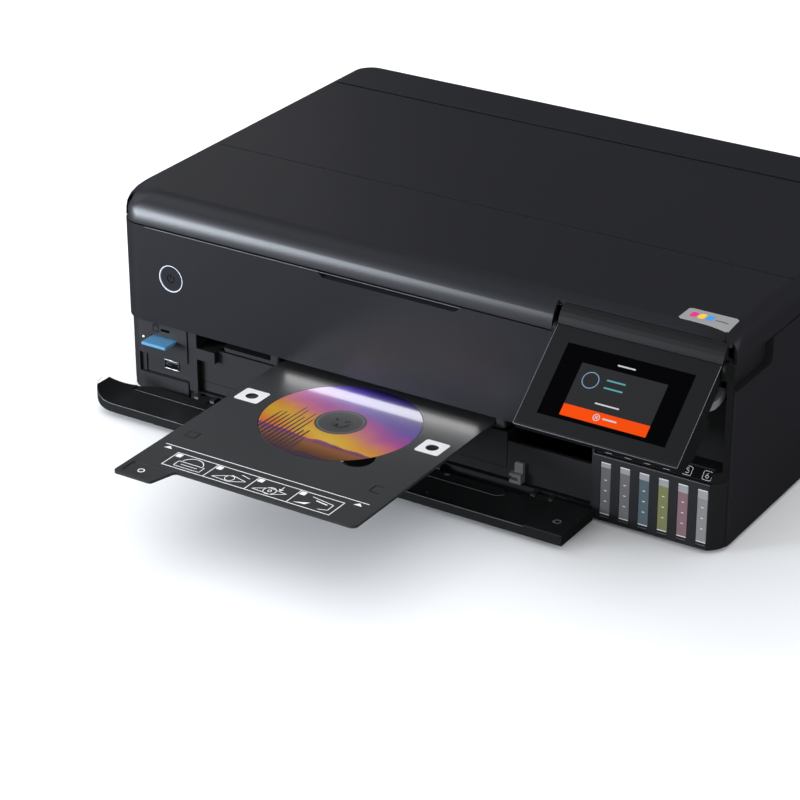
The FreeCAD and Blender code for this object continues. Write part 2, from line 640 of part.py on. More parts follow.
def duplex_cover():
    """Rear duplex unit, bulging past the rear wall and pulled straight out."""
    low, high, top = duplex_window()
    section = [(BODY_DEPTH - 12, 24, 0), (TOTAL_DEPTH - 10, 24, 5), (TOTAL_DEPTH, 40, 12),
               (TOTAL_DEPTH, top - 14, 12),
               (TOTAL_DEPTH - 10, top, 5), (BODY_DEPTH - 12, top, 0)]
    outer = side_slab(section, low, high)
    hollow = side_slab([(BODY_DEPTH - 13, 27, 0), (TOTAL_DEPTH - 12, 27, 0), (TOTAL_DEPTH - 3, 42, 0),
                        (TOTAL_DEPTH - 3, top - 16, 0), (TOTAL_DEPTH - 12, top - 3, 0),
                        (BODY_DEPTH - 13, top - 3, 0)],
                       low + 3, high - 3)
    unit = outer.cut(hollow)
    for i in range(2):
        rib_x = low + 85.0 + i * 88.0
        unit = unit.fuse(side_slab([(BODY_DEPTH - 8, 28, 0), (TOTAL_DEPTH - 11, 28, 0),
                                    (TOTAL_DEPTH - 4, 44, 0),
                                    (TOTAL_DEPTH - 4, top - 18, 0), (TOTAL_DEPTH - 11, top - 4, 0),
                                    (BODY_DEPTH - 8, top - 4, 0), (TOTAL_DEPTH - 16, (24 + top) / 2, 20)],
                                   rib_x, rib_x + 2.0))
    for x0 in (low + 30, high - 60):
        unit = unit.cut(box(x0, TOTAL_DEPTH - 9, top - 7, x0 + 30, TOTAL_DEPTH + 1, top + 1))
        unit = unit.fuse(box(x0 - 2, TOTAL_DEPTH - 11, top - 9, x0 + 32, TOTAL_DEPTH - 9, top - 1))
    keep("duplex_cover", unit.removeSplitter())


def power_inlet():
    """Two-pin mains inlet, round-ended, in the rear cover."""
    x0, z0, width, height = rear_port_windows()[0]
    shell = box(x0, BODY_DEPTH - 24, z0, x0 + width, BODY_DEPTH - 0.4, z0 + height)
    cx, cz = x0 + width / 2, z0 + height / 2
    socket = rod((cx - 4.3, BODY_DEPTH - 16, cz), "y", 4.3, 20)
    socket = socket.fuse(rod((cx + 4.3, BODY_DEPTH - 16, cz), "y", 4.3, 20))
    socket = socket.fuse(box(cx - 4.3, BODY_DEPTH - 16, cz - 3.6, cx + 4.3, BODY_DEPTH + 4, cz + 3.6))
    shell = shell.cut(socket)
    for side in (-1, 1):
        shell = shell.fuse(rod((cx + side * 4.3, BODY_DEPTH - 17, cz), "y", 1.2, 11))
    keep("power_inlet", shell.removeSplitter())


def rear_sockets():
    x0, z0, width, height = rear_port_windows()[1]
    usb = box(x0, BODY_DEPTH - 18, z0, x0 + width, BODY_DEPTH - 0.4, z0 + height)
    usb = usb.cut(front_slab([(x0 + 2.2, z0 + 2, 0), (x0 + width - 2.2, z0 + 2, 0),
                              (x0 + width - 2.2, z0 + 8, 0),
                              (x0 + width - 4, z0 + 10, 0), (x0 + 4, z0 + 10, 0), (x0 + 2.2, z0 + 8, 0)],
                             BODY_DEPTH - 12, BODY_DEPTH + 1))
    tongue = box(x0 + 4, BODY_DEPTH - 13, z0 + 4.6, x0 + width - 4, BODY_DEPTH - 3, z0 + 7.6)
    usb = usb.fuse(tongue).removeSplitter()
    x0, z0, width, height = rear_port_windows()[2]
    network = box(x0, BODY_DEPTH - 20, z0, x0 + width, BODY_DEPTH - 0.4, z0 + height)
    network = network.cut(box(x0 + 2.6, BODY_DEPTH - 14, z0 + 3.4, x0 + width - 2.6, BODY_DEPTH + 1,
                              z0 + height - 4.2))
    network = network.cut(box(x0 + 5.4, BODY_DEPTH - 14, z0 + 1.4, x0 + width - 5.4, BODY_DEPTH + 1,
                              z0 + 5))
    keep("rear_sockets", Part.Compound([usb, network.removeSplitter()]))


# ---------------------------------------------------------------- front panel and button
def front_panel():
    """Front moulding over the slots, wrapped round the left corner."""
    shell = body_shell(PANEL_BOTTOM, RIM_Z)
    right = PANEL_LEFT_X - CHEEK - 1.0 - SEAM
    shell = shell.common(box(-HALF - 1, -1, PANEL_BOTTOM - 1, right, FRONT_MODULE_DEPTH - SEAM / 2,
                             RIM_Z + 1))
    ledge = box(-HALF + 14, 2, RIM_Z - SHELL, right, FRONT_MODULE_DEPTH - SEAM / 2, RIM_Z)
    lip = box(-HALF + 22, 2, PANEL_BOTTOM, right, FRONT_MODULE_DEPTH - SEAM / 2, PANEL_BOTTOM + 2.2)
    shell = shell.fuse(ledge).fuse(lip)
    back = box(SCOOP_LEFT - 3, 2, RIM_Z - SCOOP_DROP - 3, SCOOP_RIGHT + 3, SCOOP_DEPTH + 3, RIM_Z)
    shell = shell.fuse(back)
    middle = (SCOOP_LEFT + SCOOP_RIGHT) / 2
    reach = (SCOOP_RIGHT - SCOOP_LEFT) / 2
    scoop_top = front_slab([(middle - reach, RIM_Z + 2, 0), (middle + reach, RIM_Z + 2, 0),
                            (middle + reach, RIM_Z, 0), (middle + reach - 6, RIM_Z - SCOOP_DROP, 3),
                            (middle - reach + 6, RIM_Z - SCOOP_DROP, 3), (middle - reach, RIM_Z, 0)], -1,
                            SCOOP_DEPTH)
    slope = side_slab([(-1, RIM_Z - SCOOP_DROP - 0.6, 0), (SCOOP_DEPTH, RIM_Z - 1.2, 0),
                       (SCOOP_DEPTH, RIM_Z + 3, 0),
                       (-1, RIM_Z + 3, 0)], middle - reach, middle + reach)
    shell = shell.cut(scoop_top.common(slope))
    shell = shell.cut(rod((BUTTON_X, -1, BUTTON_Z), "y", RING_R + RING_WIDTH / 2 + 0.15, SHELL + 3))
    shell = shell.fuse(button_guide())
    keep("front_panel", shell.removeSplitter())


def button_guide():
    """Guide moulded on the back of the panel, holding the ring and the button's stem."""
    ring_in = RING_R - RING_WIDTH / 2
    ring_out = RING_R + RING_WIDTH / 2
    guide = box(BUTTON_X - 17, SHELL - 0.5, BUTTON_Z - 17, BUTTON_X + 17, SHELL + 10, BUTTON_Z + 17)
    seat = rod((BUTTON_X, SHELL - 1, BUTTON_Z), "y", ring_out + 0.15, 3.5)
    bore = rod((BUTTON_X, SHELL - 1, BUTTON_Z), "y", ring_in + 0.2, 5.4)
    stem = rod((BUTTON_X, SHELL - 1, BUTTON_Z), "y", 3.0 + PIN_CLEARANCE * 2, 20)
    return guide.cut(seat).cut(bore).cut(stem)


def power_button():
    """Button cap with its stem, and the lit ring round it."""
    ring_in = RING_R - RING_WIDTH / 2
    ring_out = RING_R + RING_WIDTH / 2
    ring = tube((BUTTON_X, 0.0, BUTTON_Z), "y", ring_out, ring_in, SHELL + 2.5)
    keep("button_ring", ring)
    cap = rod((BUTTON_X, 0.25, BUTTON_Z), "y", ring_in - FIT, SHELL + 1.2)
    cap = cap.makeChamfer(0.5, [e for e in cap.Edges if e.BoundBox.YMax < 0.3 and e.BoundBox.XLength > 5])
    stem = rod((BUTTON_X, SHELL + 1, BUTTON_Z), "y", 3.0, 8.0)
    keep("power_button", cap.fuse(stem))


# ---------------------------------------------------------------- lower front, left side
def card_reader_panel():
    """Card slot panel wrapping the left corner, with the recessed USB panel under it."""
    inset = LOWER_INSET
    shell = body_shell(FOOT_HEIGHT, PANEL_BOTTOM - SEAM, inset)
    shell = shell.common(box(-HALF - 1, -1, 0, CARD_PANEL_RIGHT, FRONT_MODULE_DEPTH - SEAM / 2,
                             PANEL_BOTTOM))
    lower = box(-246, -1, COVER_TOP + 8, CARD_PANEL_RIGHT + 1, inset + SHELL + 0.01, CARD_PANEL_BOTTOM)
    shell = shell.cut(lower)
    recess_face = inset + USB_RECESS
    recess = box(-248, recess_face, FLOOR_TOP, CARD_PANEL_RIGHT, recess_face + 2.4, CARD_PANEL_BOTTOM + 2)
    shelf = box(-248, inset + 1, CARD_PANEL_BOTTOM, CARD_PANEL_RIGHT, recess_face + 2.4,
                CARD_PANEL_BOTTOM + 2)
    shell = shell.fuse(recess).fuse(shelf)
    slot = front_slab(rectangle(CARD_X - CARD_WIDTH / 2 - 0.8, CARD_Z - 1.9,
                                CARD_X + CARD_WIDTH / 2 + 0.8, CARD_Z + 1.9, 0.8),
                      -1, inset + SHELL + 1)
    port = box(USB_X - USB_WIDTH / 2 - 0.15, 0, USB_Z - USB_HEIGHT / 2 - 0.15, USB_X + USB_WIDTH / 2 + 0.15,
               recess_face + 3, USB_Z + USB_HEIGHT / 2 + 0.15)
    keep("card_reader_panel", shell.cut(slot).cut(port).removeSplitter())


def card_slot():
    """Card socket behind the slot, holding the card on four sides."""
    y0 = LOWER_INSET + SHELL + 0.05
    x0, x1 = CARD_X - CARD_WIDTH / 2, CARD_X + CARD_WIDTH / 2
    z0, z1 = CARD_Z - CARD_THICK / 2, CARD_Z + CARD_THICK / 2
    back = -CARD_OUT + CARD_LENGTH + 3
    block = box(x0 - 2.5, y0, z0 - 2, x1 + 2.5, back + 2, z1 + 2)
    block = block.cut(box(x0 - FIT, y0 - 1, z0 - FIT, x1 + FIT, back, z1 + FIT))
    board = box(x0 - 2.5, y0, z0 - 4.5, x1 + 2.5, back + 6, z0 - 2)
    keep("card_socket", block.fuse(board).removeSplitter())
    card = plan_slab([(x0, -CARD_OUT, 0.8), (x1, -CARD_OUT, 0.8), (x1, -CARD_OUT + CARD_LENGTH, 0.8),
                      (x0 + 4, -CARD_OUT + CARD_LENGTH, 0.5), (x0, -CARD_OUT + CARD_LENGTH - 4, 0.5)], z0,
                      z1)
    step = box(x0 - 1, -CARD_OUT - 1, z1 - 0.7, x0 + 0.7, -CARD_OUT + CARD_LENGTH + 1, z1 + 1)
    keep("memory_card", card.cut(step).removeSplitter())


def usb_port():
    y0 = LOWER_INSET + USB_RECESS
    x0, x1 = USB_X - USB_WIDTH / 2, USB_X + USB_WIDTH / 2
    z0, z1 = USB_Z - USB_HEIGHT / 2, USB_Z + USB_HEIGHT / 2
    shell = box(x0, y0 - 0.6, z0, x1, y0 + USB_DEPTH, z1)
    shell = shell.cut(box(x0 + 0.6, y0 - 1, z0 + 0.6, x1 - 0.6, y0 + USB_DEPTH - 1, z1 - 0.6))
    tongue = box(x0 + 1.8, y0 + 0.6, z1 - 2.9, x1 - 1.8, y0 + USB_DEPTH - 0.5, z1 - 1.2)
    keep("usb_port", shell.fuse(tongue).removeSplitter())


def front_frame():
    """Pillars, sill and lintel round the paper bay, with the disc tray's two guides."""
    y0 = LOWER_INSET + 1.0
    z1 = PANEL_BOTTOM - SEAM
    left = box(CARD_PANEL_RIGHT + SEAM, y0, FLOOR_TOP + FIT, BAY_LEFT - FIT, 23, z1)
    notch = box(BAY_LEFT - FIT - 0.1, y0, CASSETTE_NOTCH_Z + FIT, CASSETTE_NOTCH_X - FIT, 20, CASSETTE_TOP)
    right = box(BAY_RIGHT + FIT, y0 + 1, FLOOR_TOP + FIT, HOUSING_LEFT - SEAM / 2, 23, z1)
    lintel = box(BAY_LEFT - 1, 16.5, z1 - 2.2, BAY_RIGHT + 1, 30, z1)
    frame = left.fuse(notch).fuse(right).fuse(lintel)
    for x0, x1, z0 in ((TRAY_LEFT - 9.5, TRAY_LEFT - 0.8, OUTPUT_TOP + FIT),
                       (TRAY_RIGHT + 0.8, UPPER_RIGHT - FIT, OUTPUT_TOP + FIT)):
        guide = plan_slab([(x0, 6, 2), (x1, 6, 2), (x1, 38, 0), (x0, 38, 0)], z0, z1)
        frame = frame.fuse(guide)
    keep("front_frame", frame.removeSplitter())


# ---------------------------------------------------------------- ink tank unit
def ink_tank_housing():
    """Front right moulding with six window openings, wrapped round the corner."""
    form = body_slab(FOOT_HEIGHT, LEDGE_Z, 0.5)
    form = form.common(box(HOUSING_LEFT, HOUSING_FRONT, 0, HALF, FRONT_MODULE_DEPTH + 4.0, LEDGE_Z + 1))
    form = form.cut(box(HALF - SHELL - 4, FRONT_MODULE_DEPTH - SEAM / 2, 0, HALF + 1, 40, 200))
    hollow = body_slab(FOOT_HEIGHT + 2.5, LEDGE_Z - 2.4, SHELL + 0.5)
    hollow = hollow.common(box(HOUSING_LEFT + 2.4, HOUSING_FRONT + SHELL, 0, HALF, 60, LEDGE_Z))
    housing = form.cut(hollow)
    for x in TANK_X:
        x0, x1 = x - WINDOW_WIDTH / 2 - 0.15, x + WINDOW_WIDTH / 2 + 0.15
        window = front_slab(rectangle(x0, WINDOW_BOTTOM, x1, WINDOW_TOP), HOUSING_FRONT - 1,
                            HOUSING_FRONT + SHELL + 1)
        notch = front_slab(rectangle(x0 + 0.5, WINDOW_BOTTOM - 3.2, x1 - 0.5, WINDOW_BOTTOM - 1.0),
                           HOUSING_FRONT - 1, HOUSING_FRONT + 0.8)
        housing = housing.cut(window).cut(notch)
    keep("ink_tank_housing", housing.removeSplitter())


def ink_tanks():
    """Six tanks side by side, each with a sight window boss, a filler neck and a cap."""
    y0 = HOUSING_FRONT + SHELL + FIT
    for i, x in enumerate(TANK_X):
        half = TANK_WIDTH / 2
        section = [(y0, FLOOR_TOP + FIT + 1, 0), (y0 + TANK_DEPTH, FLOOR_TOP + FIT + 1, 0),
                   (y0 + TANK_DEPTH, TANK_TOP, 0), (y0 + 26, TANK_TOP, 0), (y0 + 26, LEDGE_Z - 2.8, 0),
                   (y0, LEDGE_Z - 2.8, 0)]
        body = side_slab(section, x - half, x + half)
        boss_half = WINDOW_WIDTH / 2
        boss = front_slab(rectangle(x - boss_half, WINDOW_BOTTOM + 0.15, x + boss_half, WINDOW_TOP - 0.15),
                          HOUSING_FRONT + 0.5, y0 + 3)
        neck_y = y0 + 44
        neck = polygon_rod((x, neck_y, TANK_TOP - 1), "z", CAP_R - 1.4, 7.0, CAP_SIDES)
        body = body.common(body_slab(0, BODY_HEIGHT, SHELL + HOUSING_FRONT))
        tank = body.fuse(boss).fuse(neck).cut(polygon_rod((x, neck_y, TANK_TOP - 6), "z", CAP_R - 3.0, 14,
                                                          CAP_SIDES))
        keep("ink_tank_%d" % (i + 1), tank.removeSplitter())
    caps = []
    for x in TANK_X:
        neck_y = y0 + 44
        cap = polygon_rod((x, neck_y, TANK_TOP + 0.3), "z", CAP_R, CAP_HEIGHT, CAP_SIDES)
        cap = cap.cut(polygon_rod((x, neck_y, TANK_TOP + 0.2), "z", CAP_R - 1.1, 7.2, CAP_SIDES))
        caps.append(cap.fuse(polygon_rod((x, neck_y, TANK_TOP - 4), "z", CAP_R - 3.3, 12, CAP_SIDES)))
    keep("tank_caps", Part.Compound(caps))


def tank_cover():
    """Flap over the six caps, under the scanner."""
    x0, x1 = HOUSING_LEFT + 1.5, TANK_X[-1] + CAP_R + 2.2
    y0 = HOUSING_FRONT + SHELL + 28
    roof = TANK_TOP + CAP_HEIGHT + 4.4
    section = [(y0, TANK_TOP + 1, 0), (y0, roof, 4), (y0 + 62, roof, 3), (y0 + 62, TANK_TOP + 0.3, 0),
               (y0 + 60, TANK_TOP + 0.3, 0), (y0 + 60, roof - 2, 2), (y0 + 2, roof - 2, 2),
               (y0 + 2, TANK_TOP + 1, 0)]
    flap = side_slab(section, x0, x1)
    ends = [side_slab([(y0, TANK_TOP + 1, 0), (y0, roof, 4), (y0 + 62, roof, 3),
                       (y0 + 62, TANK_TOP + 0.3, 0)], x, x + 1.6)
            for x in (x0, x1 - 1.6)]
    keep("tank_cover", fuse(flap, *ends))


def panel_housing():
    """Fixed moulding behind the control panel: pocket, corner and the ledge for the label strip."""
    left = PANEL_LEFT_X - CHEEK - 1.0
    form = body_slab(LEDGE_Z + SEAM, RIM_Z, 0.0)
    form = form.common(box(left, -1, 0, HALF + 1, FRONT_MODULE_DEPTH - SEAM / 2, RIM_Z + 1))
    back = box(left, 14, PANEL_BOTTOM, PANEL_RIGHT_X + 0.4, POCKET_Y + 2.6, RIM_Z)
    back = back.common(body_slab(0, RIM_Z, SHELL + FIT)).cut(grip_recess(1.6 + FIT))
    form = form.fuse(back)
    pocket = box(left + 2.4, -2, POCKET_FLOOR, PANEL_RIGHT_X + 0.6, POCKET_Y, RIM_Z + 1)
    form = form.cut(pocket)
    left_cut = box(left - 1, -2, 0, HOUSING_LEFT, POCKET_Y + 1, PANEL_BOTTOM)
    slope = side_slab([(-2, LEDGE_Z - 1, 0), (5, LEDGE_Z - 1, 0), (5, LEDGE_Z + 1, 0),
                       (strip_top()[0], strip_top()[1], 0),
                       (strip_top()[0], POCKET_FLOOR + 2, 0), (-2, POCKET_FLOOR + 2, 0)], HOUSING_LEFT,
                       HALF - 9)
    form = form.cut(left_cut).cut(slope)
    for x in stay_places():
        form = form.cut(box(x - STAY_WIDTH / 2 - 0.6, POCKET_Y - 1, TILT_PIVOT_Z - STAY_R - 5,
                            x + STAY_WIDTH / 2 + 0.6,
                            POCKET_Y + 4, TILT_PIVOT_Z - 4))
    form = form.fuse(hinge_strip()).cut(tilt_bore())
    keep("panel_housing", form.removeSplitter())


def strip_top():
    """Upper edge of the sloping label strip, in Y and Z."""
    return 11.0, POCKET_FLOOR - 1.0


# ---------------------------------------------------------------- control panel
def slope_point(down, behind):
    """Point on the tilting panel: distance down its face and depth behind the face."""
    angle = math.radians(PANEL_TILT)
    top_y = TILT_PIVOT_Y - TILT_BARREL_R * math.cos(angle)
    top_z = TILT_PIVOT_Z + TILT_BARREL_R * math.sin(angle)
    y = top_y - down * math.sin(angle) + behind * math.cos(angle)
    z = top_z - down * math.cos(angle) - behind * math.sin(angle)
    return y, z


def slope_section(corners, x0, x1):
    """Prism along X from corners (down, behind, radius) on the tilting panel."""
    return side_slab([slope_point(down, behind) + (radius,) for down, behind, radius in corners], x0, x1)


def stay_places():
    return (PANEL_LEFT_X + 8.0, PANEL_RIGHT_X - 6.5)


def control_panel():
    """Tilting panel: front bezel, rear cover, touch screen and two arc-shaped stays."""
    length = PANEL_LENGTH
    r = TILT_BARREL_R
    middle = 8.0
    front = slope_section([(0, 0, 0), (length, 0, 1.5), (length - 0.6, middle, 0), (-0.2, middle, 0)],
                          PANEL_LEFT_X, PANEL_RIGHT_X)
    barrel = rod((PANEL_LEFT_X, TILT_PIVOT_Y, TILT_PIVOT_Z), "x", r, PANEL_RIGHT_X - PANEL_LEFT_X)
    barrel = barrel.common(slope_section([(-r - 1, -1, 0), (3, -1, 0), (3, middle, 0), (-r - 1, middle, 0)],
                                         PANEL_LEFT_X, PANEL_RIGHT_X))
    bezel = front.fuse(barrel).removeSplitter()
    seat = slope_section([(GLASS_UPPER - 0.15, -1, 0), (GLASS_LOWER + 0.15, -1, 0),
                          (GLASS_LOWER + 0.15, 1.6, 0),
                          (GLASS_UPPER - 0.15, 1.6, 0)], GLASS_LEFT_X - 0.15, GLASS_RIGHT_X + 0.15)
    hollow = slope_section([(8, 3.2, 0), (length - 4, 3.2, 0), (length - 4, middle + 1, 0),
                            (8, middle + 1, 0)],
                           PANEL_LEFT_X + 3, PANEL_RIGHT_X - 3)
    bezel = bezel.cut(seat).cut(hollow)
    bezel = bezel.cut(rod((PANEL_LEFT_X - 1, TILT_PIVOT_Y, TILT_PIVOT_Z), "x", HINGE_PIN_R + PIN_CLEARANCE,
                          PANEL_RIGHT_X - PANEL_LEFT_X + 2))
    keep("control_panel_front", bezel.removeSplitter())
    screen = slope_section([(GLASS_UPPER, 0.15, 0), (GLASS_LOWER, 0.15, 0), (GLASS_LOWER, 1.6, 0),
                            (GLASS_UPPER, 1.6, 0)],
                           GLASS_LEFT_X, GLASS_RIGHT_X)
    keep("touch_screen", screen)
    t = PANEL_THICK
    outer = slope_section([(10, middle, 0), (length - 0.6, middle, 0), (length - 2, 12, 2),
                           (length - 17, t, 5), (16, t, 6)],
                          PANEL_LEFT_X + 0.6, PANEL_RIGHT_X - 0.6)
    inner = slope_section([(14, middle - 1, 0), (length - 5, middle - 1, 0), (length - 5, 11, 1),
                           (length - 18, t - 2.5, 4),
                           (19, t - 2.5, 4)], PANEL_LEFT_X + 3.4, PANEL_RIGHT_X - 3.4)
    grip_room = slope_section([(-5, 12.4, 0), (34, 12.4, 0), (34, t + 1, 0), (-5, t + 1, 0)],
                              PANEL_RIGHT_X - 5.0, PANEL_RIGHT_X)
    inner = inner.cut(slope_section([(-5, 10.4, 0), (36, 10.4, 0), (36, t + 1, 0), (-5, t + 1, 0)],
                                    PANEL_RIGHT_X - 7.5, PANEL_RIGHT_X))
    keep("control_panel_back", outer.cut(inner).cut(grip_room).removeSplitter())
    stays = []
    for x in stay_places():
        ring = tube((x - STAY_WIDTH / 2, TILT_PIVOT_Y, TILT_PIVOT_Z), "x", STAY_R + 3.0, STAY_R - 3.0,
                    STAY_WIDTH)
        start = math.radians(-128.0)
        end = math.radians(-8.0 - PANEL_TILT)
        far = STAY_R * 2.0
        wedge = [(TILT_PIVOT_Y, TILT_PIVOT_Z, 0)]
        wedge.append((TILT_PIVOT_Y + far * math.cos(start), TILT_PIVOT_Z + far * math.sin(start), 0))
        wedge.append((TILT_PIVOT_Y + far * math.cos(end), TILT_PIVOT_Z + far * math.sin(end), 0))
        arc = ring.common(side_slab(wedge, x - STAY_WIDTH, x + STAY_WIDTH))
        inside = slope_section([(-20, -5, 0), (PANEL_LENGTH, -5, 0), (PANEL_LENGTH, PANEL_THICK, 0),
                                (-20, PANEL_THICK, 0)],
                               x - STAY_WIDTH, x + STAY_WIDTH)
        stays.append(arc.cut(inside))
    keep("panel_stays", Part.Compound(stays))


def hinge_strip():
    """Fixed strip over the panel's hinge, flush with the bullnose, with its web and the two cheeks."""
    x0, x1 = PANEL_LEFT_X, PANEL_RIGHT_X + 0.5
    r = TILT_BARREL_R + SEAM
    nose = [(0.0, TILT_PIVOT_Z - 1, 0), (0.0, BODY_HEIGHT - NOSE_RADIUS, 0)]
    steps = 6
    span = math.degrees(math.acos(1 - STRIP_DEPTH / NOSE_RADIUS))
    for i in range(1, steps + 1):
        angle = math.radians(i * span / steps)
        nose.append((NOSE_RADIUS * (1 - math.cos(angle)),
                     BODY_HEIGHT - NOSE_RADIUS * (1 - math.sin(angle)), 0))
    nose.append((STRIP_DEPTH, COVER_BOTTOM + 9, 0))
    nose.append((WEB_BACK, COVER_BOTTOM + 6, 0))
    nose.append((WEB_BACK, RIM_Z - 4, 0))
    nose.append((WEB_BACK - 2, RIM_Z - 4, 0))
    nose.append((WEB_BACK - 2, TILT_PIVOT_Z - 1, 0))
    strip = side_slab(nose, x0, x1)
    strip = strip.cut(rod((x0 - 1, TILT_PIVOT_Y, TILT_PIVOT_Z), "x", r, x1 - x0 + 2))
    strip = strip.cut(box(x0 - 1, -10, TILT_PIVOT_Z - 5, x1 + 1, TILT_PIVOT_Y, TILT_PIVOT_Z + r * 0.72))
    shelf = box(x0 - CHEEK - 1, WEB_BACK - 2, RIM_Z - 3.4, HALF - RIM_LEDGE - 1.0, POCKET_Y + 2.6,
                RIM_Z - 0.4)
    strip = strip.fuse(shelf)
    for cheek_x in (x0 - CHEEK - 1, x1 + 0.2):
        reach = TILT_BARREL_R - 0.6
        cheek = side_slab([(TILT_PIVOT_Y - reach, TILT_PIVOT_Z - reach, 0),
                           (WEB_BACK, TILT_PIVOT_Z - 12, 0),
                           (WEB_BACK, RIM_Z - 0.4, 0), (TILT_PIVOT_Y + reach, TILT_PIVOT_Z + reach, 3),
                           (TILT_PIVOT_Y - reach, TILT_PIVOT_Z + reach, 5)], cheek_x, cheek_x + CHEEK)
        strip = strip.fuse(cheek)
    return strip


def tilt_bore():
    """Bore for the panel's pivot pin, through the left cheek and into the right one."""
    x0, x1 = PANEL_LEFT_X, PANEL_RIGHT_X + 0.5
    return rod((x0 - 10, TILT_PIVOT_Y, TILT_PIVOT_Z), "x", HINGE_PIN_R + PIN_CLEARANCE, x1 - x0 + 12.5)


# ---------------------------------------------------------------- paper handling
def cassette(x0, x1, z0, z1, wall):
    """Open-topped paper tray with a low floor, side walls and stiffening ribs under the floor."""
    rear = FACE_Y + CASSETTE_DEPTH
    tray = plan_slab(rectangle(x0, FACE_Y + 2, x1, rear, 5), z0, z1)
    tray = tray.cut(plan_slab(rectangle(x0 + wall, FACE_Y + 2 + wall, x1 - wall, rear - wall, 3),
                              z0 + 1.4, z1 + 1))
    return tray


def photo_cassette():
    """Upper cassette, whose tall face fills the middle of the front opening."""
    z0 = CASSETTE_SPLIT + FIT
    tray = cassette(BAY_LEFT + 1, UPPER_RIGHT - 1, z0, CASSETTE_TOP - 1.2, TRAY_WALL)
    tray = tray.cut(box(BAY_LEFT - 2, FACE_Y - 10, CASSETTE_NOTCH_Z - FIT, CASSETTE_NOTCH_X,
                        FACE_Y + CASSETTE_DEPTH + 1,
                        CASSETTE_TOP + 1))
    face = [(BAY_LEFT + FIT, z0, 0.5), (UPPER_RIGHT - FIT, z0, 0.5), (UPPER_RIGHT - FIT, CASSETTE_TOP, 0.8),
            (CASSETTE_NOTCH_X, CASSETTE_TOP, 0.8), (CASSETTE_NOTCH_X, CASSETTE_NOTCH_Z - FIT, 0.5),
            (BAY_LEFT + FIT, CASSETTE_NOTCH_Z - FIT, 0.5)]
    tray = tray.fuse(front_slab(face, FACE_Y, FACE_Y + 3))
    keep("photo_cassette", tray.removeSplitter())


def paper_cassette():
    """Lower cassette, low across the bay with a raised face on the right."""
    z1 = CASSETTE_SPLIT
    tray = cassette(BAY_LEFT + 1, BAY_RIGHT - 1, CASSETTE_FLOOR, z1, TRAY_WALL)
    face = [(BAY_LEFT + FIT, CASSETTE_FLOOR, 0.5), (BAY_RIGHT - FIT, CASSETTE_FLOOR, 0.5),
            (BAY_RIGHT - FIT, RIGHT_FACE_TOP, 0.8), (UPPER_RIGHT + FIT, RIGHT_FACE_TOP, 0.8),
            (UPPER_RIGHT + FIT, z1, 0), (BAY_LEFT + FIT, z1, 0.5)]
    tray = tray.fuse(front_slab(face, FACE_Y, FACE_Y + 3))
    fence = box(UPPER_RIGHT + FIT, FACE_Y + 2, z1 - 2, UPPER_RIGHT + FIT + TRAY_WALL, FACE_Y + 150,
                RIGHT_FACE_TOP - 3)
    back = box(UPPER_RIGHT + FIT, FACE_Y + 148, z1 - 2, BAY_RIGHT - 1, FACE_Y + 150, RIGHT_FACE_TOP - 3)
    side = box(BAY_RIGHT - 1 - TRAY_WALL, FACE_Y + 2, z1 - 2, BAY_RIGHT - 1, FACE_Y + 150,
               RIGHT_FACE_TOP - 3)
    keep("paper_cassette", fuse(tray, fence, back, side, cassette_latch()))


def edge_guides():
    """Pair of sliding paper guides in the photo cassette."""
    z0 = CASSETTE_SPLIT + FIT + 1.4 + FIT
    middle = (BAY_LEFT + UPPER_RIGHT) / 2
    for side, name in ((-1, "paper_guide_left"), (1, "paper_guide_right")):
        x = middle + side * 66.0
        foot = box(min(x, x - side * 26), 120, z0, max(x, x - side * 26), 170, z0 + 1.6)
        fence = box(min(x, x + side * 2.4), 112, z0, max(x, x + side * 2.4), 178, CASSETTE_TOP - 4)
        grip = side_slab([(138, z0, 0), (152, z0, 0), (150, CASSETTE_TOP - 6, 2),
                          (140, CASSETTE_TOP - 6, 2)],
                         min(x + side * 2, x + side * 10), max(x + side * 2, x + side * 10))
        keep(name, fuse(foot, fence, grip))


def output_tray():
    """Thin tray that slides out over the cassettes to catch the prints."""
    x0, x1 = CASSETTE_NOTCH_X + 2, UPPER_RIGHT - 3
    plate = plan_slab([(x0, FACE_Y + 1, 6), (x1, FACE_Y + 1, 6), (x1, FACE_Y + OUTPUT_DEPTH, 3),
                       (x0, FACE_Y + OUTPUT_DEPTH, 3)],
                      OUTPUT_BOTTOM, OUTPUT_TOP)
    for i in range(7):
        x = x0 + 16 + i * (x1 - x0 - 32) / 6.0
        groove = plan_slab(rectangle(x - 3, FACE_Y + 20, x + 3, FACE_Y + OUTPUT_DEPTH - 12),
                           OUTPUT_TOP - 1.0,
                           OUTPUT_TOP + 1)
        plate = plate.cut(groove)
    keep("output_tray", plate.removeSplitter())
    rails = []
    for lo, hi in ((BAY_LEFT - 1.0, x0 - FIT), (x1 + FIT, x1 + 8)):
        ledge = box(lo, 30, OUTPUT_BOTTOM - 0.2, hi, 300, OUTPUT_TOP)
        rails.append(ledge)
    cross = box(BAY_LEFT - 1, 302, OUTPUT_BOTTOM - 0.2, BAY_RIGHT + 0.6, 322, OUTPUT_TOP)
    shelf = box(x1 + 8, 30, OUTPUT_BOTTOM - 0.2, BAY_RIGHT + 0.6, 300, OUTPUT_TOP)
    deck = box(BAY_LEFT - 1, FACE_Y + OUTPUT_DEPTH + 3, OUTPUT_BOTTOM - 0.2, BAY_RIGHT + 0.6, 303,
               OUTPUT_TOP)
    keep("paper_path_deck", fuse(rails[0], rails[1], cross, shelf, deck))


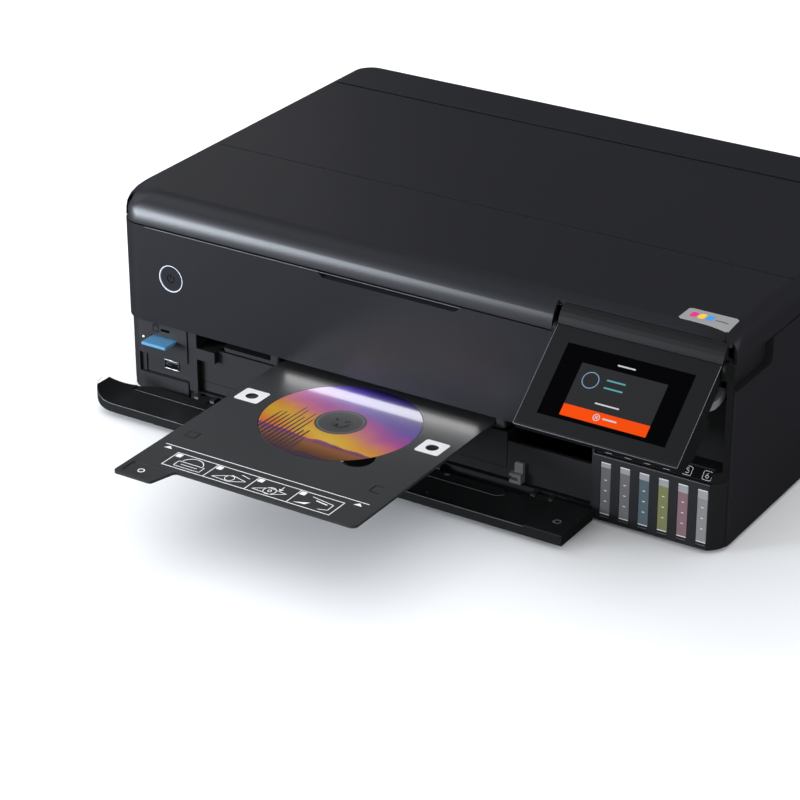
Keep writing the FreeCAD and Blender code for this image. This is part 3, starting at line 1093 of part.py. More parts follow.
def curl_slab(top, low, y0, y1):
    """Sheet along the cover, flat and then curled up at its left end, between two heights."""
    bend_x = COVER_LEFT + COVER_CURL_RUN
    radius = (COVER_CURL_RUN ** 2 + COVER_CURL ** 2) / (2 * COVER_CURL)
    centre_z = COVER_TOP + radius
    inner, outer = centre_z - top, centre_z - low
    end = math.asin(COVER_CURL_RUN / outer)

    def on_arc(r, angle):
        return Vector(bend_x - r * math.sin(angle), y0, centre_z - r * math.cos(angle))

    edges = [Part.makeLine(Vector(COVER_RIGHT, y0, top), on_arc(inner, 0)),
             Part.Arc(on_arc(inner, 0), on_arc(inner, end / 2), on_arc(inner, end)).toShape(),
             Part.makeLine(on_arc(inner, end), on_arc(outer, end)),
             Part.Arc(on_arc(outer, end), on_arc(outer, end / 2), on_arc(outer, 0)).toShape(),
             Part.makeLine(on_arc(outer, 0), Vector(COVER_RIGHT, y0, low)),
             Part.makeLine(Vector(COVER_RIGHT, y0, low), Vector(COVER_RIGHT, y0, top))]
    return Part.Face(Part.Wire(edges)).extrude(Vector(0, y1 - y0, 0))


def cover_plan(inset, z0, z1):
    """Plan of the folded cover, rounded where it wraps the body's left corner."""
    front, rear = -COVER_REACH + inset, COVER_HINGE_Y - 4.0
    left = COVER_LEFT + inset
    corners = [(left, front, COVER_CORNER - inset), (COVER_RIGHT, front, 0), (COVER_RIGHT, rear, 0),
               (left + 30, rear, 4), (left, rear - 18, 4)]
    return plan_slab(corners, z0, z1)


def front_cover():
    """Folded-down cover: a shallow shell with a rim, curled up at its left end."""
    front, rear = -COVER_REACH, COVER_HINGE_Y - 4.0
    top, low = COVER_TOP, COVER_TOP - COVER_THICK
    shell = curl_slab(top, low, front, rear).common(cover_plan(0, 0, 60))
    ring = cover_plan(0, 0, 60).cut(cover_plan(COVER_RIM, -1, 61))
    ahead = box(COVER_LEFT - 1, front - 1, 0, COVER_RIGHT, rear - 20, 60)
    rim = curl_slab(top + 1.0, low - 2.8, front, rear).common(ring).common(ahead)
    shell = shell.fuse(rim)
    step = plan_slab([(COVER_LEFT + COVER_CURL_RUN - 5, COVER_LINE_Y, 0), (96, COVER_LINE_Y, 8),
                      (99, rear - 2, 0),
                      (99, rear + 2, 0), (COVER_LEFT + COVER_CURL_RUN - 5, rear + 2, 0)], top - 0.5,
                      top + 9)
    shell = shell.cut(step)
    block = box(BLOCK_LEFT, front - 0.2, low - 2.8, COVER_RIGHT, COVER_HINGE_Y - 1.5, BLOCK_TOP)
    block = block.makeFillet(1.0, [e for e in block.Edges if e.BoundBox.YMax < front and e.BoundBox.XLength > 9])
    shell = shell.fuse(block)
    for x0 in cover_knuckles():
        knuckle = side_slab([(rear - 4, low, 0), (COVER_HINGE_Y + 3.2, COVER_HINGE_Z - 3.2, 2.3),
                             (COVER_HINGE_Y + 3.2, COVER_HINGE_Z + 3.2, 2.3), (rear - 4, top - 0.5, 0)],
                             x0, x0 + 10)
        shell = shell.fuse(knuckle)
    shell = shell.cut(rod((COVER_LEFT, COVER_HINGE_Y, COVER_HINGE_Z), "x", 1.5 + PIN_CLEARANCE, 500))
    shell = shell.cut(box(LATCH_X - 7, -5.0, low - 4, LATCH_X + 8.5, rear + 8, BLOCK_TOP + 1))
    keep("front_cover", shell.removeSplitter())


def cover_knuckles():
    return (-186.0, -96.0, 20.0, 116.0)


def cover_sill():
    """Sill under the bay with the ears that carry the front cover's pins."""
    y0 = COVER_HINGE_Y - 3.2
    sill = box(BAY_LEFT - 6, COVER_HINGE_Y + 4.6, FOOT_HEIGHT + 0.4, HOUSING_LEFT - 0.5, 16.9, FLOOR_TOP)
    ears = sill
    for x0 in cover_knuckles():
        for x in (x0 - 4.4, x0 + 10.4):
            ear = side_slab([(COVER_HINGE_Y + 6, FOOT_HEIGHT + 0.4, 0), (y0, FOOT_HEIGHT + 1.0, 3),
                             (y0, COVER_HINGE_Z + 3.2, 3),
                             (COVER_HINGE_Y + 6, COVER_HINGE_Z + 3.2, 0)], x, x + 4)
            ears = ears.fuse(ear)
    ears = ears.cut(rod((BAY_LEFT - 20, COVER_HINGE_Y, COVER_HINGE_Z), "x", 1.5 + PIN_CLEARANCE, 400))
    return ears


def cassette_latch():
    """Two-pronged latch on the lower cassette's raised face."""
    y1 = FACE_Y
    stem = box(LATCH_X - 3.5, y1 - 3.6, CASSETTE_FLOOR + 0.6, LATCH_X + 3.5, y1, 30.0)
    stem = stem.makeFillet(1.2, [e for e in stem.Edges if e.BoundBox.ZMin > 29.9])
    prongs = box(LATCH_X - 6.0, y1 - 7.0, CASSETTE_FLOOR + 1.0, LATCH_X + 3.5, y1 - 2.0, 22.0)
    prongs = prongs.cut(box(LATCH_X - 7, y1 - 8, CASSETTE_FLOOR + 3.4, LATCH_X + 1.2, y1 - 3.4, 19.8))
    return stem.fuse(prongs)


# ---------------------------------------------------------------- disc tray and disc
def disc_tray():
    """Flat carrier with a recess for the disc, a thumb tab, aiming squares and guide ribs."""
    z0, z1 = TRAY_BOTTOM, TRAY_TOP
    corners = [(TRAY_LEFT, TAB_FRONT, 3), (TAB_RIGHT, TAB_FRONT, 3), (TAB_RIGHT + 6, TRAY_FRONT, 4),
               (TRAY_RIGHT, TRAY_FRONT, 5), (TRAY_RIGHT, TRAY_REAR, 4), (TRAY_LEFT, TRAY_REAR, 4)]
    tray = plan_slab(corners, z0, z1)
    seat_z = z1 - DISC_THICK
    seat = rod((DISC_X, DISC_Y, seat_z), "z", DISC_R + 0.5, 5)
    thumb = rod((DISC_X + 42.0, DISC_Y - 42.0, seat_z - 0.4), "z", 12.0, 5)
    tray = tray.cut(seat).cut(thumb)
    thumb_rest = plan_slab(rectangle(TRAY_LEFT + 4, TAB_FRONT + 4, TAB_RIGHT - 3, TAB_FRONT + 19, 2),
                           z1 - 0.6, z1 + 1)
    tray = tray.cut(thumb_rest)
    for x in mark_places():
        tray = tray.cut(rod((x, MARK_Y, z0 - 1), "z", MARK_HOLE_R, 5))
        tray = tray.cut(box(x - MARK_HALF, MARK_Y - MARK_HALF, z1 - 0.3, x + MARK_HALF,
                            MARK_Y + MARK_HALF, z1 + 1))
    for side in (-1, 1):
        x = (TRAY_LEFT + TRAY_RIGHT) / 2 + side * 79.0
        tray = tray.cut(box(x - 4, -131.5, z1 - 0.5, x + 4, -130.5, z1 + 1))
        tray = tray.cut(box(x - side * 4 - 0.5, -131.5, z1 - 0.5, x - side * 4 + 0.5, -122.5, z1 + 1))
    hub = rod((DISC_X, DISC_Y, seat_z - 0.001), "z", DISC_HOLE_R - 0.1, DISC_THICK + HUB_RISE)
    spindle = hub
    for i in range(3):
        cut = box(3.4, -0.6, seat_z + 0.2, DISC_HOLE_R + 1, 0.6, z1 + 2)
        cut.rotate(Vector(0, 0, 0), Vector(0, 0, 1), 30 + 120 * i)
        cut.translate(Vector(DISC_X, DISC_Y, 0))
        spindle = spindle.cut(cut)
    keep("disc_tray", tray.fuse(spindle).removeSplitter())
    disc = tube((DISC_X, DISC_Y, seat_z), "z", DISC_R, DISC_HOLE_R, DISC_THICK)
    keep("disc", disc)


def mark_places():
    middle = (TRAY_LEFT + TRAY_RIGHT) / 2
    return (middle - 79.6, middle + 78.2)


# ---------------------------------------------------------------- print mechanism
def guide_rail():
    """Folded steel beam that carries the carriage, with its two end posts."""
    x0, x1 = BAY_LEFT - 1.0, BAY_RIGHT + 0.6
    z0, z1 = RAIL_Z, RAIL_Z + RAIL_HEIGHT
    section = [(RAIL_Y, z0, 0), (RAIL_Y + 14, z0, 1.5), (RAIL_Y + 14, z0 + 1.5, 0),
               (RAIL_Y + 1.5, z0 + 1.5, 0.5),
               (RAIL_Y + 1.5, z1 - 1.5, 0.5), (RAIL_Y + 22, z1 - 1.5, 0), (RAIL_Y + 22, z1, 1.5),
               (RAIL_Y, z1, 1.5)]
    rail = side_slab(section, x0, x1)
    keep("guide_rail", rail)


def belt_loop():
    """Timing belt round the drive pulley on the left and the idler on the right."""
    left, right = BAY_LEFT + 16.0, BAY_RIGHT - 16.0
    z = RAIL_Z + RAIL_HEIGHT / 2 + 2
    outer_r = PULLEY_R + FIT + BELT_THICK
    inner_r = PULLEY_R + FIT

    def loop(radius):
        corners = [(left - radius, z - radius, radius * 0.999),
                   (right + radius, z - radius, radius * 0.999),
                   (right + radius, z + radius, radius * 0.999),
                   (left - radius, z + radius, radius * 0.999)]
        return front_slab(corners, BELT_Y, BELT_Y + BELT_WIDTH)

    keep("timing_belt", loop(outer_r).cut(loop(inner_r)))
    for x, name in ((left, "drive_pulley"), (right, "idler_pulley")):
        teeth = [(x + (PULLEY_R - 0.8 * (i % 2)) * math.cos(math.pi * i / 16),
                  z + (PULLEY_R - 0.8 * (i % 2)) *
                  math.sin(math.pi * i / 16), 0) for i in range(32)]
        pulley = front_slab(teeth, BELT_Y, BELT_Y + BELT_WIDTH)
        pulley = pulley.fuse(polygon_rod((x, BELT_Y - 0.9, z), "y", PULLEY_R + 0.1, 0.9))
        pulley = pulley.cut(rod((x, BELT_Y - 2, z), "y", 2.5 + PIN_CLEARANCE, BELT_WIDTH + 4))
        keep(name, pulley.removeSplitter())
    plate_y = BELT_Y + BELT_WIDTH + 1.0
    motor = polygon_rod((left, plate_y + 2.0, z), "y", 12.0, 26.0, 32)
    shaft = rod((left, RAIL_Y + 2.4, z), "y", 2.5, plate_y - RAIL_Y + 1)
    keep("carriage_motor", fuse(motor, shaft))
    plates = []
    for x in (left, right):
        plate = box(x - 14, plate_y, z - 11.0, x + 14, plate_y + 1.8, z + RAIL_HEIGHT / 2 - 4)
        plate = plate.cut(rod((left, plate_y - 1, z), "y", 2.7, 4))
        arm = box(x - 14, RAIL_Y + 1.6, z + RAIL_HEIGHT / 2 - 5.6, x + 14, plate_y + 1.8,
                  z + RAIL_HEIGHT / 2 - 3.7)
        plates.append(plate.fuse(arm).removeSplitter())
    pin = rod((right, RAIL_Y + 3.0, z), "y", 2.5, plate_y - RAIL_Y - 2)
    plates[1] = plates[1].fuse(pin).removeSplitter()
    keep("pulley_brackets", Part.Compound(plates))


def carriage():
    """Print head carriage hooked on the rail, with its belt clamp."""
    x1 = CARRIAGE_HOME
    x0 = x1 - CARRIAGE_WIDTH
    z0 = PATH_TOP + 1.6
    z1 = RAIL_Z + RAIL_HEIGHT + 10.0
    y0, y1 = 62.0, RAIL_Y - FIT
    section = [(y0 + 6, z0, 2), (y1, z0, 1), (y1, RAIL_Z + RAIL_HEIGHT + FIT, 0),
               (y1 + 10, RAIL_Z + RAIL_HEIGHT + FIT, 0.5),
               (y1 + 10, z1 - 2, 1), (y0 + 12, z1, 5), (y0, z1 - 12, 5), (y0, z0 + 6, 2)]
    head = side_slab(section, x0, x1)
    for i in range(TANK_COUNT):
        x = x0 + 9 + i * 13.0
        head = head.cut(box(x, y0 + 16, z1 - 8, x + 8, y0 + 40, z1 + 1))
    belt_top = RAIL_Z + RAIL_HEIGHT / 2 + 2 + PULLEY_R + FIT + BELT_THICK
    clamp = box(x0 + 34, y1 + 6, belt_top + FIT, x0 + 50, BELT_Y + BELT_WIDTH - 0.5,
                RAIL_Z + RAIL_HEIGHT + FIT + 3)
    clamp = clamp.cut(box(x0, y1, 0, x1, BELT_Y + BELT_WIDTH, RAIL_Z + RAIL_HEIGHT + FIT))
    keep("print_carriage", head.fuse(clamp).removeSplitter())


def rollers():
    """Feed roller with rubber sleeves, and the eject roller with its star wheels."""
    x0, x1 = BAY_LEFT - 0.8, BAY_RIGHT + 0.4
    feed_z = PATH_TOP + FEED_R
    shaft = rod((x0, FEED_Y, feed_z), "x", 3.5, x1 - x0)
    for i in range(5):
        sleeve_x = x0 + 38 + i * 66.0
        shaft = shaft.fuse(polygon_rod((sleeve_x, FEED_Y, feed_z), "x", FEED_R, 34.0))
    keep("feed_roller", shaft.removeSplitter())
    eject_z = PATH_TOP + EJECT_R
    spindle = rod((x0, EJECT_Y, eject_z), "x", 1.5, x1 - x0)
    for i in range(EJECT_WHEELS):
        wheel_x = x0 + 20 + i * (x1 - x0 - 42) / (EJECT_WHEELS - 1)
        spindle = spindle.fuse(star_wheel(wheel_x, eject_z))
    keep("eject_roller", spindle.removeSplitter())


def star_wheel(x, z, points=8):
    corners = []
    for i in range(points * 2):
        angle = math.pi * i / points
        radius = EJECT_R if i % 2 == 0 else EJECT_R - 1.6
        corners.append((EJECT_Y + radius * math.cos(angle), z + radius * math.sin(angle), 0))
    return side_slab(corners, x, x + 1.2)


def support_face(z):
    """Y of the rear paper support's front face at height z."""
    top_y, foot_y = BODY_DEPTH - 22.0, BODY_DEPTH - 37.0
    low = OUTPUT_TOP + FIT
    return foot_y + (top_y - foot_y) * (z - low) / (RIM_Z - 2.0 - low)


def rear_feed():
    """Sloping paper support in the rear feed well, with two edge guides on it."""
    x0, x1 = -170.0, 170.0
    top, low = RIM_Z - 2.0, OUTPUT_TOP + FIT
    section = [(support_face(top), top, 0), (support_face(top) + 4, top, 0),
               (support_face(low) + 4, low, 0),
               (support_face(low), low, 0)]
    support = side_slab(section, x0, x1)
    back = BODY_DEPTH - SHELL - FIT
    wall_y = BODY_DEPTH - REAR_CORNER + 0.5
    for i in range(5):
        x = x0 + 30 + i * 70.0
        support = support.fuse(side_slab([(support_face(RIM_Z - 6.4) + 3, RIM_Z - 6.4, 0),
                                          (back, RIM_Z - 6.4, 0), (back, RIM_Z - 20.4, 0),
                                          (wall_y, RIM_Z - 23.4, 0),
                                          (wall_y, 80, 0), (support_face(80) + 3, 80, 0)], x, x + 2))
    keep("paper_support", support.removeSplitter())
    for side, name in ((-1, "feed_guide_left"), (1, "feed_guide_right")):
        x = side * 106.0
        low_x, high_x = min(x, x + side * 3), max(x, x + side * 3)
        fence = side_slab([(support_face(141) - FIT, 141, 0), (312, 141, 4), (308, 90, 6),
                           (support_face(90) - FIT, 90, 0)],
                          low_x, high_x)
        keep(name, fence)


def hinge_pins():
    """Steel pins of the top, the control panel and the front cover."""
    pins = [polygon_rod((-HALF + 25, HINGE_Y, HINGE_Z), "x", HINGE_PIN_R, BODY_WIDTH - 50, 16)]
    panel_pin = PANEL_RIGHT_X - PANEL_LEFT_X + 5.6
    pins.append(polygon_rod((PANEL_LEFT_X - 3.2, TILT_PIVOT_Y, TILT_PIVOT_Z), "x", HINGE_PIN_R, panel_pin,
                            16))
    for x0 in cover_knuckles():
        pins.append(polygon_rod((x0 - 4.3, COVER_HINGE_Y, COVER_HINGE_Z), "x", 1.5, 18.6, 12))
    keep("hinge_pins", Part.Compound(pins))


def frame_rear():
    """Rear cross beam with the ears and the pin of the scanner's hinge."""
    lugs, ears = hinge_lug_spans()
    beam = box(-HALF + 8, HINGE_Y - 4, RIM_Z - 36.4, HALF - 8, HINGE_Y + 2, RIM_Z - 4)
    beam = beam.cut(box(-168, HINGE_Y - 5, RIM_Z - 32.4, 168, HINGE_Y + 3, RIM_Z - 8))
    for x0, x1 in ears:
        ear = side_slab([(HINGE_Y - 4, RIM_Z - 14.4, 0), (HINGE_Y + 2, RIM_Z - 14.4, 0),
                         (HINGE_Y + EYE_R, RIM_Z + 2, 0),
                         (HINGE_Y + EYE_R, HINGE_Z + EYE_R, EYE_R * 0.99),
                         (HINGE_Y - EYE_R, HINGE_Z + EYE_R, EYE_R * 0.99),
                         (HINGE_Y - EYE_R, RIM_Z + 2, 0)], x0, x1)
        beam = beam.fuse(ear)
    for side in (-1, 1):
        x = side * (HALF - 8.0)
        foot = box(min(x, x - side * 12), HINGE_Y - 4, FLOOR_TOP, max(x, x - side * 12), HINGE_Y + 2,
                   RIM_Z - 32.4)
        beam = beam.fuse(foot)
    beam = beam.cut(rod((-HALF, HINGE_Y, HINGE_Z), "x", HINGE_PIN_R + PIN_CLEARANCE, BODY_WIDTH))
    pin_y, pin_z = feed_hinge()
    for side in (-1, 1):
        inner = side * (POST_X + 1.0)
        reach = rod((min(inner, inner - side * 14), pin_y, pin_z), "x", HINGE_PIN_R, 14)
        post_x = side * POST_X
        post = side_slab([(pin_y - 3, 100, 0), (pin_y + 3, 100, 0), (pin_y + 3.5, pin_z + 3.5, 3.4),
                          (pin_y - 3.5, pin_z + 3.5, 3.4)],
                         min(post_x, post_x + side * POST_WIDTH), max(post_x, post_x + side * POST_WIDTH))
        arm = box(min(post_x, post_x + side * 16), HINGE_Y - 4, 100, max(post_x, post_x + side * 16),
                  pin_y + 3, 104)
        beam = beam.fuse(reach).fuse(post).fuse(arm)
    keep("rear_frame", beam.removeSplitter())


# ---------------------------------------------------------------- build and export
def build():
    document_cover()
    cover_liner()
    rear_feed_cover()
    platen_frame()
    scanner_tub()
    base_chassis()
    feet()
    keep("left_side_cover", side_cover(-1))
    keep("right_side_cover", side_cover(1))
    rear_cover()
    duplex_cover()
    power_inlet()
    rear_sockets()
    front_panel()
    power_button()
    card_reader_panel()
    card_slot()
    usb_port()
    front_frame()
    ink_tank_housing()
    ink_tanks()
    tank_cover()
    panel_housing()
    control_panel()
    hinge_pins()
    photo_cassette()
    paper_cassette()
    edge_guides()
    output_tray()
    front_cover()
    disc_tray()
    guide_rail()
    belt_loop()
    carriage()
    rollers()
    rear_feed()
    frame_rear()


build()
os.makedirs("parts", exist_ok=True)
for node, shape in PARTS.items():
    placed = shape.copy()
    placed.translate(Vector(0, TABLE_SHIFT, 0))
    placed.exportStep("parts/%s.step" % node)
    print("%-22s solids %d  valid %s  volume %.0f" % (node, len(placed.Solids), placed.isValid(),
                                                      placed.Volume))
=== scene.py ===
# %% [markdown]
# # A disc label printer, finished in Blender
# The printer's hard parts arrive as a imported CAD frame: cases, trays, panel, tanks and a print mechanism.
# This lesson gives every part its finish, then adds what is too fine for CAD: printed marks, a nameplate,
# a picture on the disc, a page on the panel, and painted highlights: thin beads of paler plastic along
# moulded edges.
# Everything is in metres and shares the frame's own axes.

# %% Load the frame
import bmesh
import bpy
import math
from mathutils import Matrix, Vector
from mathutils.bvhtree import BVHTree


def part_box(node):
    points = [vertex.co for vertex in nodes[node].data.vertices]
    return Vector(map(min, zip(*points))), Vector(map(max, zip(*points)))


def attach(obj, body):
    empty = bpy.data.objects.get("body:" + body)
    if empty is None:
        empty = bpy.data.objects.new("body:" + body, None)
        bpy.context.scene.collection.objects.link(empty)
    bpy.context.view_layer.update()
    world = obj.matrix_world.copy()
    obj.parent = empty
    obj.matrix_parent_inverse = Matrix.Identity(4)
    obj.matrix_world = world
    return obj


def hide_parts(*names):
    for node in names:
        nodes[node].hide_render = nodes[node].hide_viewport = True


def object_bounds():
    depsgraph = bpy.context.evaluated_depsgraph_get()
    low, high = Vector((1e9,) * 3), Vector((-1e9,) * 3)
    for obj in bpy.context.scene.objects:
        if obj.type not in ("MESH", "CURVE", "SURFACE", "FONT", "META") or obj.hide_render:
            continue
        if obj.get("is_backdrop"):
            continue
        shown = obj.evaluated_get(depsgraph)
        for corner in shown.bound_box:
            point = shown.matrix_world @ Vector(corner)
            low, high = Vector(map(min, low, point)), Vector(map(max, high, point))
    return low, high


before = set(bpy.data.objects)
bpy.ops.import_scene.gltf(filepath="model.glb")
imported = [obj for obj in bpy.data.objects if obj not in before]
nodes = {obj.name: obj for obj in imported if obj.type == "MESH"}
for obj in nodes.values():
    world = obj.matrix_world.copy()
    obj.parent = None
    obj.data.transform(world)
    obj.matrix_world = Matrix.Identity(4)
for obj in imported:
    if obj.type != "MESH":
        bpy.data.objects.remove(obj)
start_low, start_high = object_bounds()
print("size", [round(v, 4) for v in start_high - start_low])

# %% [markdown]
# Sizes on this printer are easiest to read in millimetres, measured from the middle of its front face.
# The frame's origin lies elsewhere, in the middle of everything that sticks out. So one helper turns a
# measured place into a place in the frame, and every later cell uses it. The other helpers save
# repeats: new objects and pieces, the mesh behind a modifier, new nodes, their values and their links.

# %% Measured places
FRONT_FACE_Y = 0.0
FRAME_SHIFT_Y = -89.0


def at(x, y, z):
    """A point in the frame, in metres, from millimetres measured at the front face."""
    return Vector((x, y + FRAME_SHIFT_Y, z)) / 1000.0


def add_object(name, data):
    """A new object in the scene."""
    thing = bpy.data.objects.new(name, data)
    bpy.context.scene.collection.objects.link(thing)
    return thing


def ride_with(name, mesh, body):
    """A new piece that moves with a body."""
    piece = add_object(name, mesh)
    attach(piece, body)
    return piece


def evaluated(carrier, modifier, name):
    """A new mesh from an object with its modifier run; the object goes."""
    bpy.context.view_layer.update()
    mesh = bpy.data.meshes.new_from_object(carrier.evaluated_get(bpy.context.evaluated_depsgraph_get()))
    mesh.name = name
    carrier.modifiers.remove(modifier)
    bpy.data.objects.remove(carrier)
    return mesh


def add_node(tree, kind):
    """A new shader node."""
    return tree.nodes.new("ShaderNode" + kind)


def skin_of(finish):
    """A material's shader."""
    return finish.node_tree.nodes["Principled BSDF"]


def new_finish(name):
    """An empty material, its tree and its shader."""
    finish = bpy.data.materials.new(name)
    finish.use_nodes = True
    return finish, finish.node_tree, skin_of(finish)


def dial(node, **values):
    """Sets inputs by name, with an underscore for each space."""
    for label, value in values.items():
        node.inputs[label.replace("_", " ")].default_value = value


def wire(tree, *links):
    """Links outputs to inputs, pair by pair."""
    for source, target in links:
        tree.links.new(source, target)


print("front face in the frame", at(0, FRONT_FACE_Y, 0))

# %% [markdown]
# The camera looks down on the printer from its right front corner, through a long lens that keeps the
# edges nearly parallel. A look-at constraint would do, but building the three camera axes by hand shows
# what a camera matrix is: right, up and back, as columns.

# %% Camera
AZIMUTH = math.radians(32.4282)
ELEVATION = math.radians(26.3872)
ROLL = math.radians(-0.1332)
back = Vector((math.sin(AZIMUTH) * math.cos(ELEVATION), -math.cos(AZIMUTH) * math.cos(ELEVATION),
               math.sin(ELEVATION)))
level = Vector((math.cos(AZIMUTH), math.sin(AZIMUTH), 0.0))
rise = back.cross(level)
camera_right = level * math.cos(ROLL) + rise * math.sin(ROLL)
camera_up = rise * math.cos(ROLL) - level * math.sin(ROLL)
lens = bpy.data.cameras.new("camera")
lens.sensor_width = 36.0
lens.lens = 123.44
lens.clip_start, lens.clip_end = 0.05, 50.0
camera = add_object("camera", lens)
turn = Matrix((camera_right, camera_up, back)).transposed().to_4x4()
camera.matrix_world = Matrix.Translation(at(973.69, -1535.08, 959.22)) @ turn
bpy.context.scene.camera = camera
print("camera at", [round(v, 3) for v in camera.location])

# %% [markdown]
# A dark, satin case shows the reflection of a lamp as much as its light, so lamps are large and soft. A low
# one at the front left is mirrored in the cover's rounded edge and draws its bright band. One over the rear
# left casts the shadow and is hidden from mirrored rays, so that it leaves no second band. Weaker ones fill
# from above, the front and the right, and a thin strip glows out of the paper slot onto the disc. The floor
# is pale, and rays that meet nothing see a white room. Mirrored rays alone meet a dim room and a dim floor,
# so that black plastic stays black on a white table.

# %% Studio
scene = bpy.context.scene
scene.view_settings.view_transform = "Standard"


def soft_lamp(name, place, target, width, height, power, colour=(1.0, 1.0, 1.0)):
    """A rectangular lamp that looks at a point."""
    light = bpy.data.lights.new(name, "AREA")
    light.shape = "RECTANGLE"
    light.size, light.size_y = width, height
    light.energy = power
    light.color = colour
    lamp = add_object(name, light)
    aim = (target - place).to_track_quat("-Z", "Y").to_matrix().to_4x4()
    lamp.matrix_world = Matrix.Translation(place) @ aim
    lamp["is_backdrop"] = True
    return lamp


edge_softbox = soft_lamp("edge_softbox", at(-1550, -1500, 430), at(-380, 0, 140), 1.0, 0.7, 8.5,
                         (0.84, 0.91, 1.0))
edge_softbox.data.spread = math.radians(62)
soft_lamp("high_fill", at(-1700, -100, 1500), at(0, 50, 120), 1.2, 1.2, 4.0)
shadow_lamp = soft_lamp("shadow_lamp", at(-900, 900, 1300), at(0, 100, 80), 1.5, 1.0, 9.0)
shadow_lamp.visible_glossy = False
soft_lamp("front_fill", at(500, -1500, 1100), at(0, 0, 80), 1.6, 1.0, 1.2)
soft_lamp("right_lamp", at(1600, 300, 700), at(0, 100, 80), 1.0, 1.0, 3.0)
soft_lamp("lid_sheen", at(-1400, 1300, 900), at(-150, 150, 160), 0.8, 0.8, 0.45)
soft_lamp("slot_glow", at(-19, -1.5, 65), at(-19, -24, 56.8), 0.17, 0.007, 0.02)

FLOOR_REACH = 6.0
FLOOR_SHADE = 0.92
floor_mesh = bpy.data.meshes.new("floor")
corners = [(-1, -1), (1, -1), (1, 1), (-1, 1)]
floor_mesh.from_pydata([(u * FLOOR_REACH, v * FLOOR_REACH, 0) for u, v in corners], [], [(0, 1, 2, 3)])
floor = add_object("floor", floor_mesh)
floor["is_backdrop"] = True
floor_finish, cloth, floor_skin = new_finish("pale_floor")
dial(floor_skin, Roughness=0.9, Specular_IOR_Level=0.1)
floor_ray = add_node(cloth, "LightPath")
floor_tone = add_node(cloth, "Mix")
floor_tone.data_type = "RGBA"
floor_tone.inputs[6].default_value = (FLOOR_SHADE, FLOOR_SHADE, FLOOR_SHADE, 1.0)
floor_tone.inputs[7].default_value = (0.03, 0.03, 0.034, 1.0)
wire(cloth, (floor_ray.outputs["Is Glossy Ray"], floor_tone.inputs[0]),
     (floor_tone.outputs[2], floor_skin.inputs["Base Color"]))
floor.data.materials.append(floor_finish)

world = bpy.data.worlds.new("studio")
scene.world = world
world.use_nodes = True
air = world.node_tree
air.nodes.clear()
ray = add_node(air, "LightPath")
seen = add_node(air, "Math")
seen.operation = "MAXIMUM"
rooms = {}
for kind, colour, strength in (("white", (1.0, 1.0, 1.0), 1.0), ("soft", (0.95, 0.97, 1.0), 0.95),
                               ("mirrored", (0.86, 0.92, 1.0), 0.06)):
    rooms[kind] = add_node(air, "Background")
    dial(rooms[kind], Color=(*colour, 1.0), Strength=strength)
glossy_choice = add_node(air, "MixShader")
camera_choice = add_node(air, "MixShader")
room_out = add_node(air, "OutputWorld")
wire(air, (ray.outputs["Is Glossy Ray"], glossy_choice.inputs[0]),
     (rooms["soft"].outputs[0], glossy_choice.inputs[1]),
     (rooms["mirrored"].outputs[0], glossy_choice.inputs[2]),
     (ray.outputs["Is Camera Ray"], seen.inputs[0]),
     (ray.outputs["Is Transmission Ray"], seen.inputs[1]), (seen.outputs[0], camera_choice.inputs[0]),
     (glossy_choice.outputs[0], camera_choice.inputs[1]),
     (rooms["white"].outputs[0], camera_choice.inputs[2]),
     (camera_choice.outputs[0], room_out.inputs["Surface"]))

# %% [markdown]
# Moulded plastic is never one flat value. Its skin has a fine spark-eroded grain that scatters light, and
# its tone drifts a little over a hand's width. An image of grain would tile and show seams, so a node
# group makes it from noise in Object coordinates. The group hands out only a colour, a roughness and a
# height, and each material keeps its own shader.

# %% Shared effect: moulded grain
def shader_group(name, inputs, outputs):
    """An empty shader node group with named sockets, and its two end nodes."""
    tree = bpy.data.node_groups.new(name, "ShaderNodeTree")
    for label, kind, value in inputs:
        socket = tree.interface.new_socket(label, in_out="INPUT", socket_type="NodeSocket" + kind)
        socket.default_value = value
    for label, kind in outputs:
        tree.interface.new_socket(label, in_out="OUTPUT", socket_type="NodeSocket" + kind)
    return tree, tree.nodes.new("NodeGroupInput"), tree.nodes.new("NodeGroupOutput")


def noise(tree, scale, detail=2.0, vector=None):
    """Noise over the object's own space."""
    node = add_node(tree, "TexNoise")
    dial(node, Detail=detail)
    if isinstance(scale, float):
        dial(node, Scale=scale)
    else:
        tree.links.new(scale, node.inputs["Scale"])
    if vector is None:
        vector = add_node(tree, "TexCoord").outputs["Object"]
    tree.links.new(vector, node.inputs["Vector"])
    return node.outputs["Fac"]


def object_xyz(tree):
    """The three Object coordinates."""
    place, split = add_node(tree, "TexCoord"), add_node(tree, "SeparateXYZ")
    tree.links.new(place.outputs["Object"], split.inputs[0])
    return split.outputs


def calc(tree, operation, first, second=None, third=None):
    """A Math node whose inputs are numbers or links."""
    node = add_node(tree, "Math")
    node.operation = operation
    for place, value in enumerate((first, second, third)):
        if isinstance(value, (int, float)):
            node.inputs[place].default_value = float(value)
        elif value is not None:
            tree.links.new(value, node.inputs[place])
    return node.outputs[0]


def far_from(tree, first, second):
    """Distance from zero of a pair of coordinates."""
    squares = [calc(tree, "POWER", side, 2.0) for side in (first, second)]
    return calc(tree, "SQRT", calc(tree, "ADD", *squares))


def blend(tree, amount, first, second):
    """Mixes two colours by a number or a mask."""
    node = add_node(tree, "Mix")
    node.data_type = "RGBA"
    for socket, value in ((node.inputs[0], amount), (node.inputs[6], first), (node.inputs[7], second)):
        if isinstance(value, (int, float)):
            socket.default_value = float(value)
        elif isinstance(value, (tuple, list)):
            socket.default_value = (*value[:3], 1.0)
        else:
            tree.links.new(value, socket)
    return node.outputs[2]


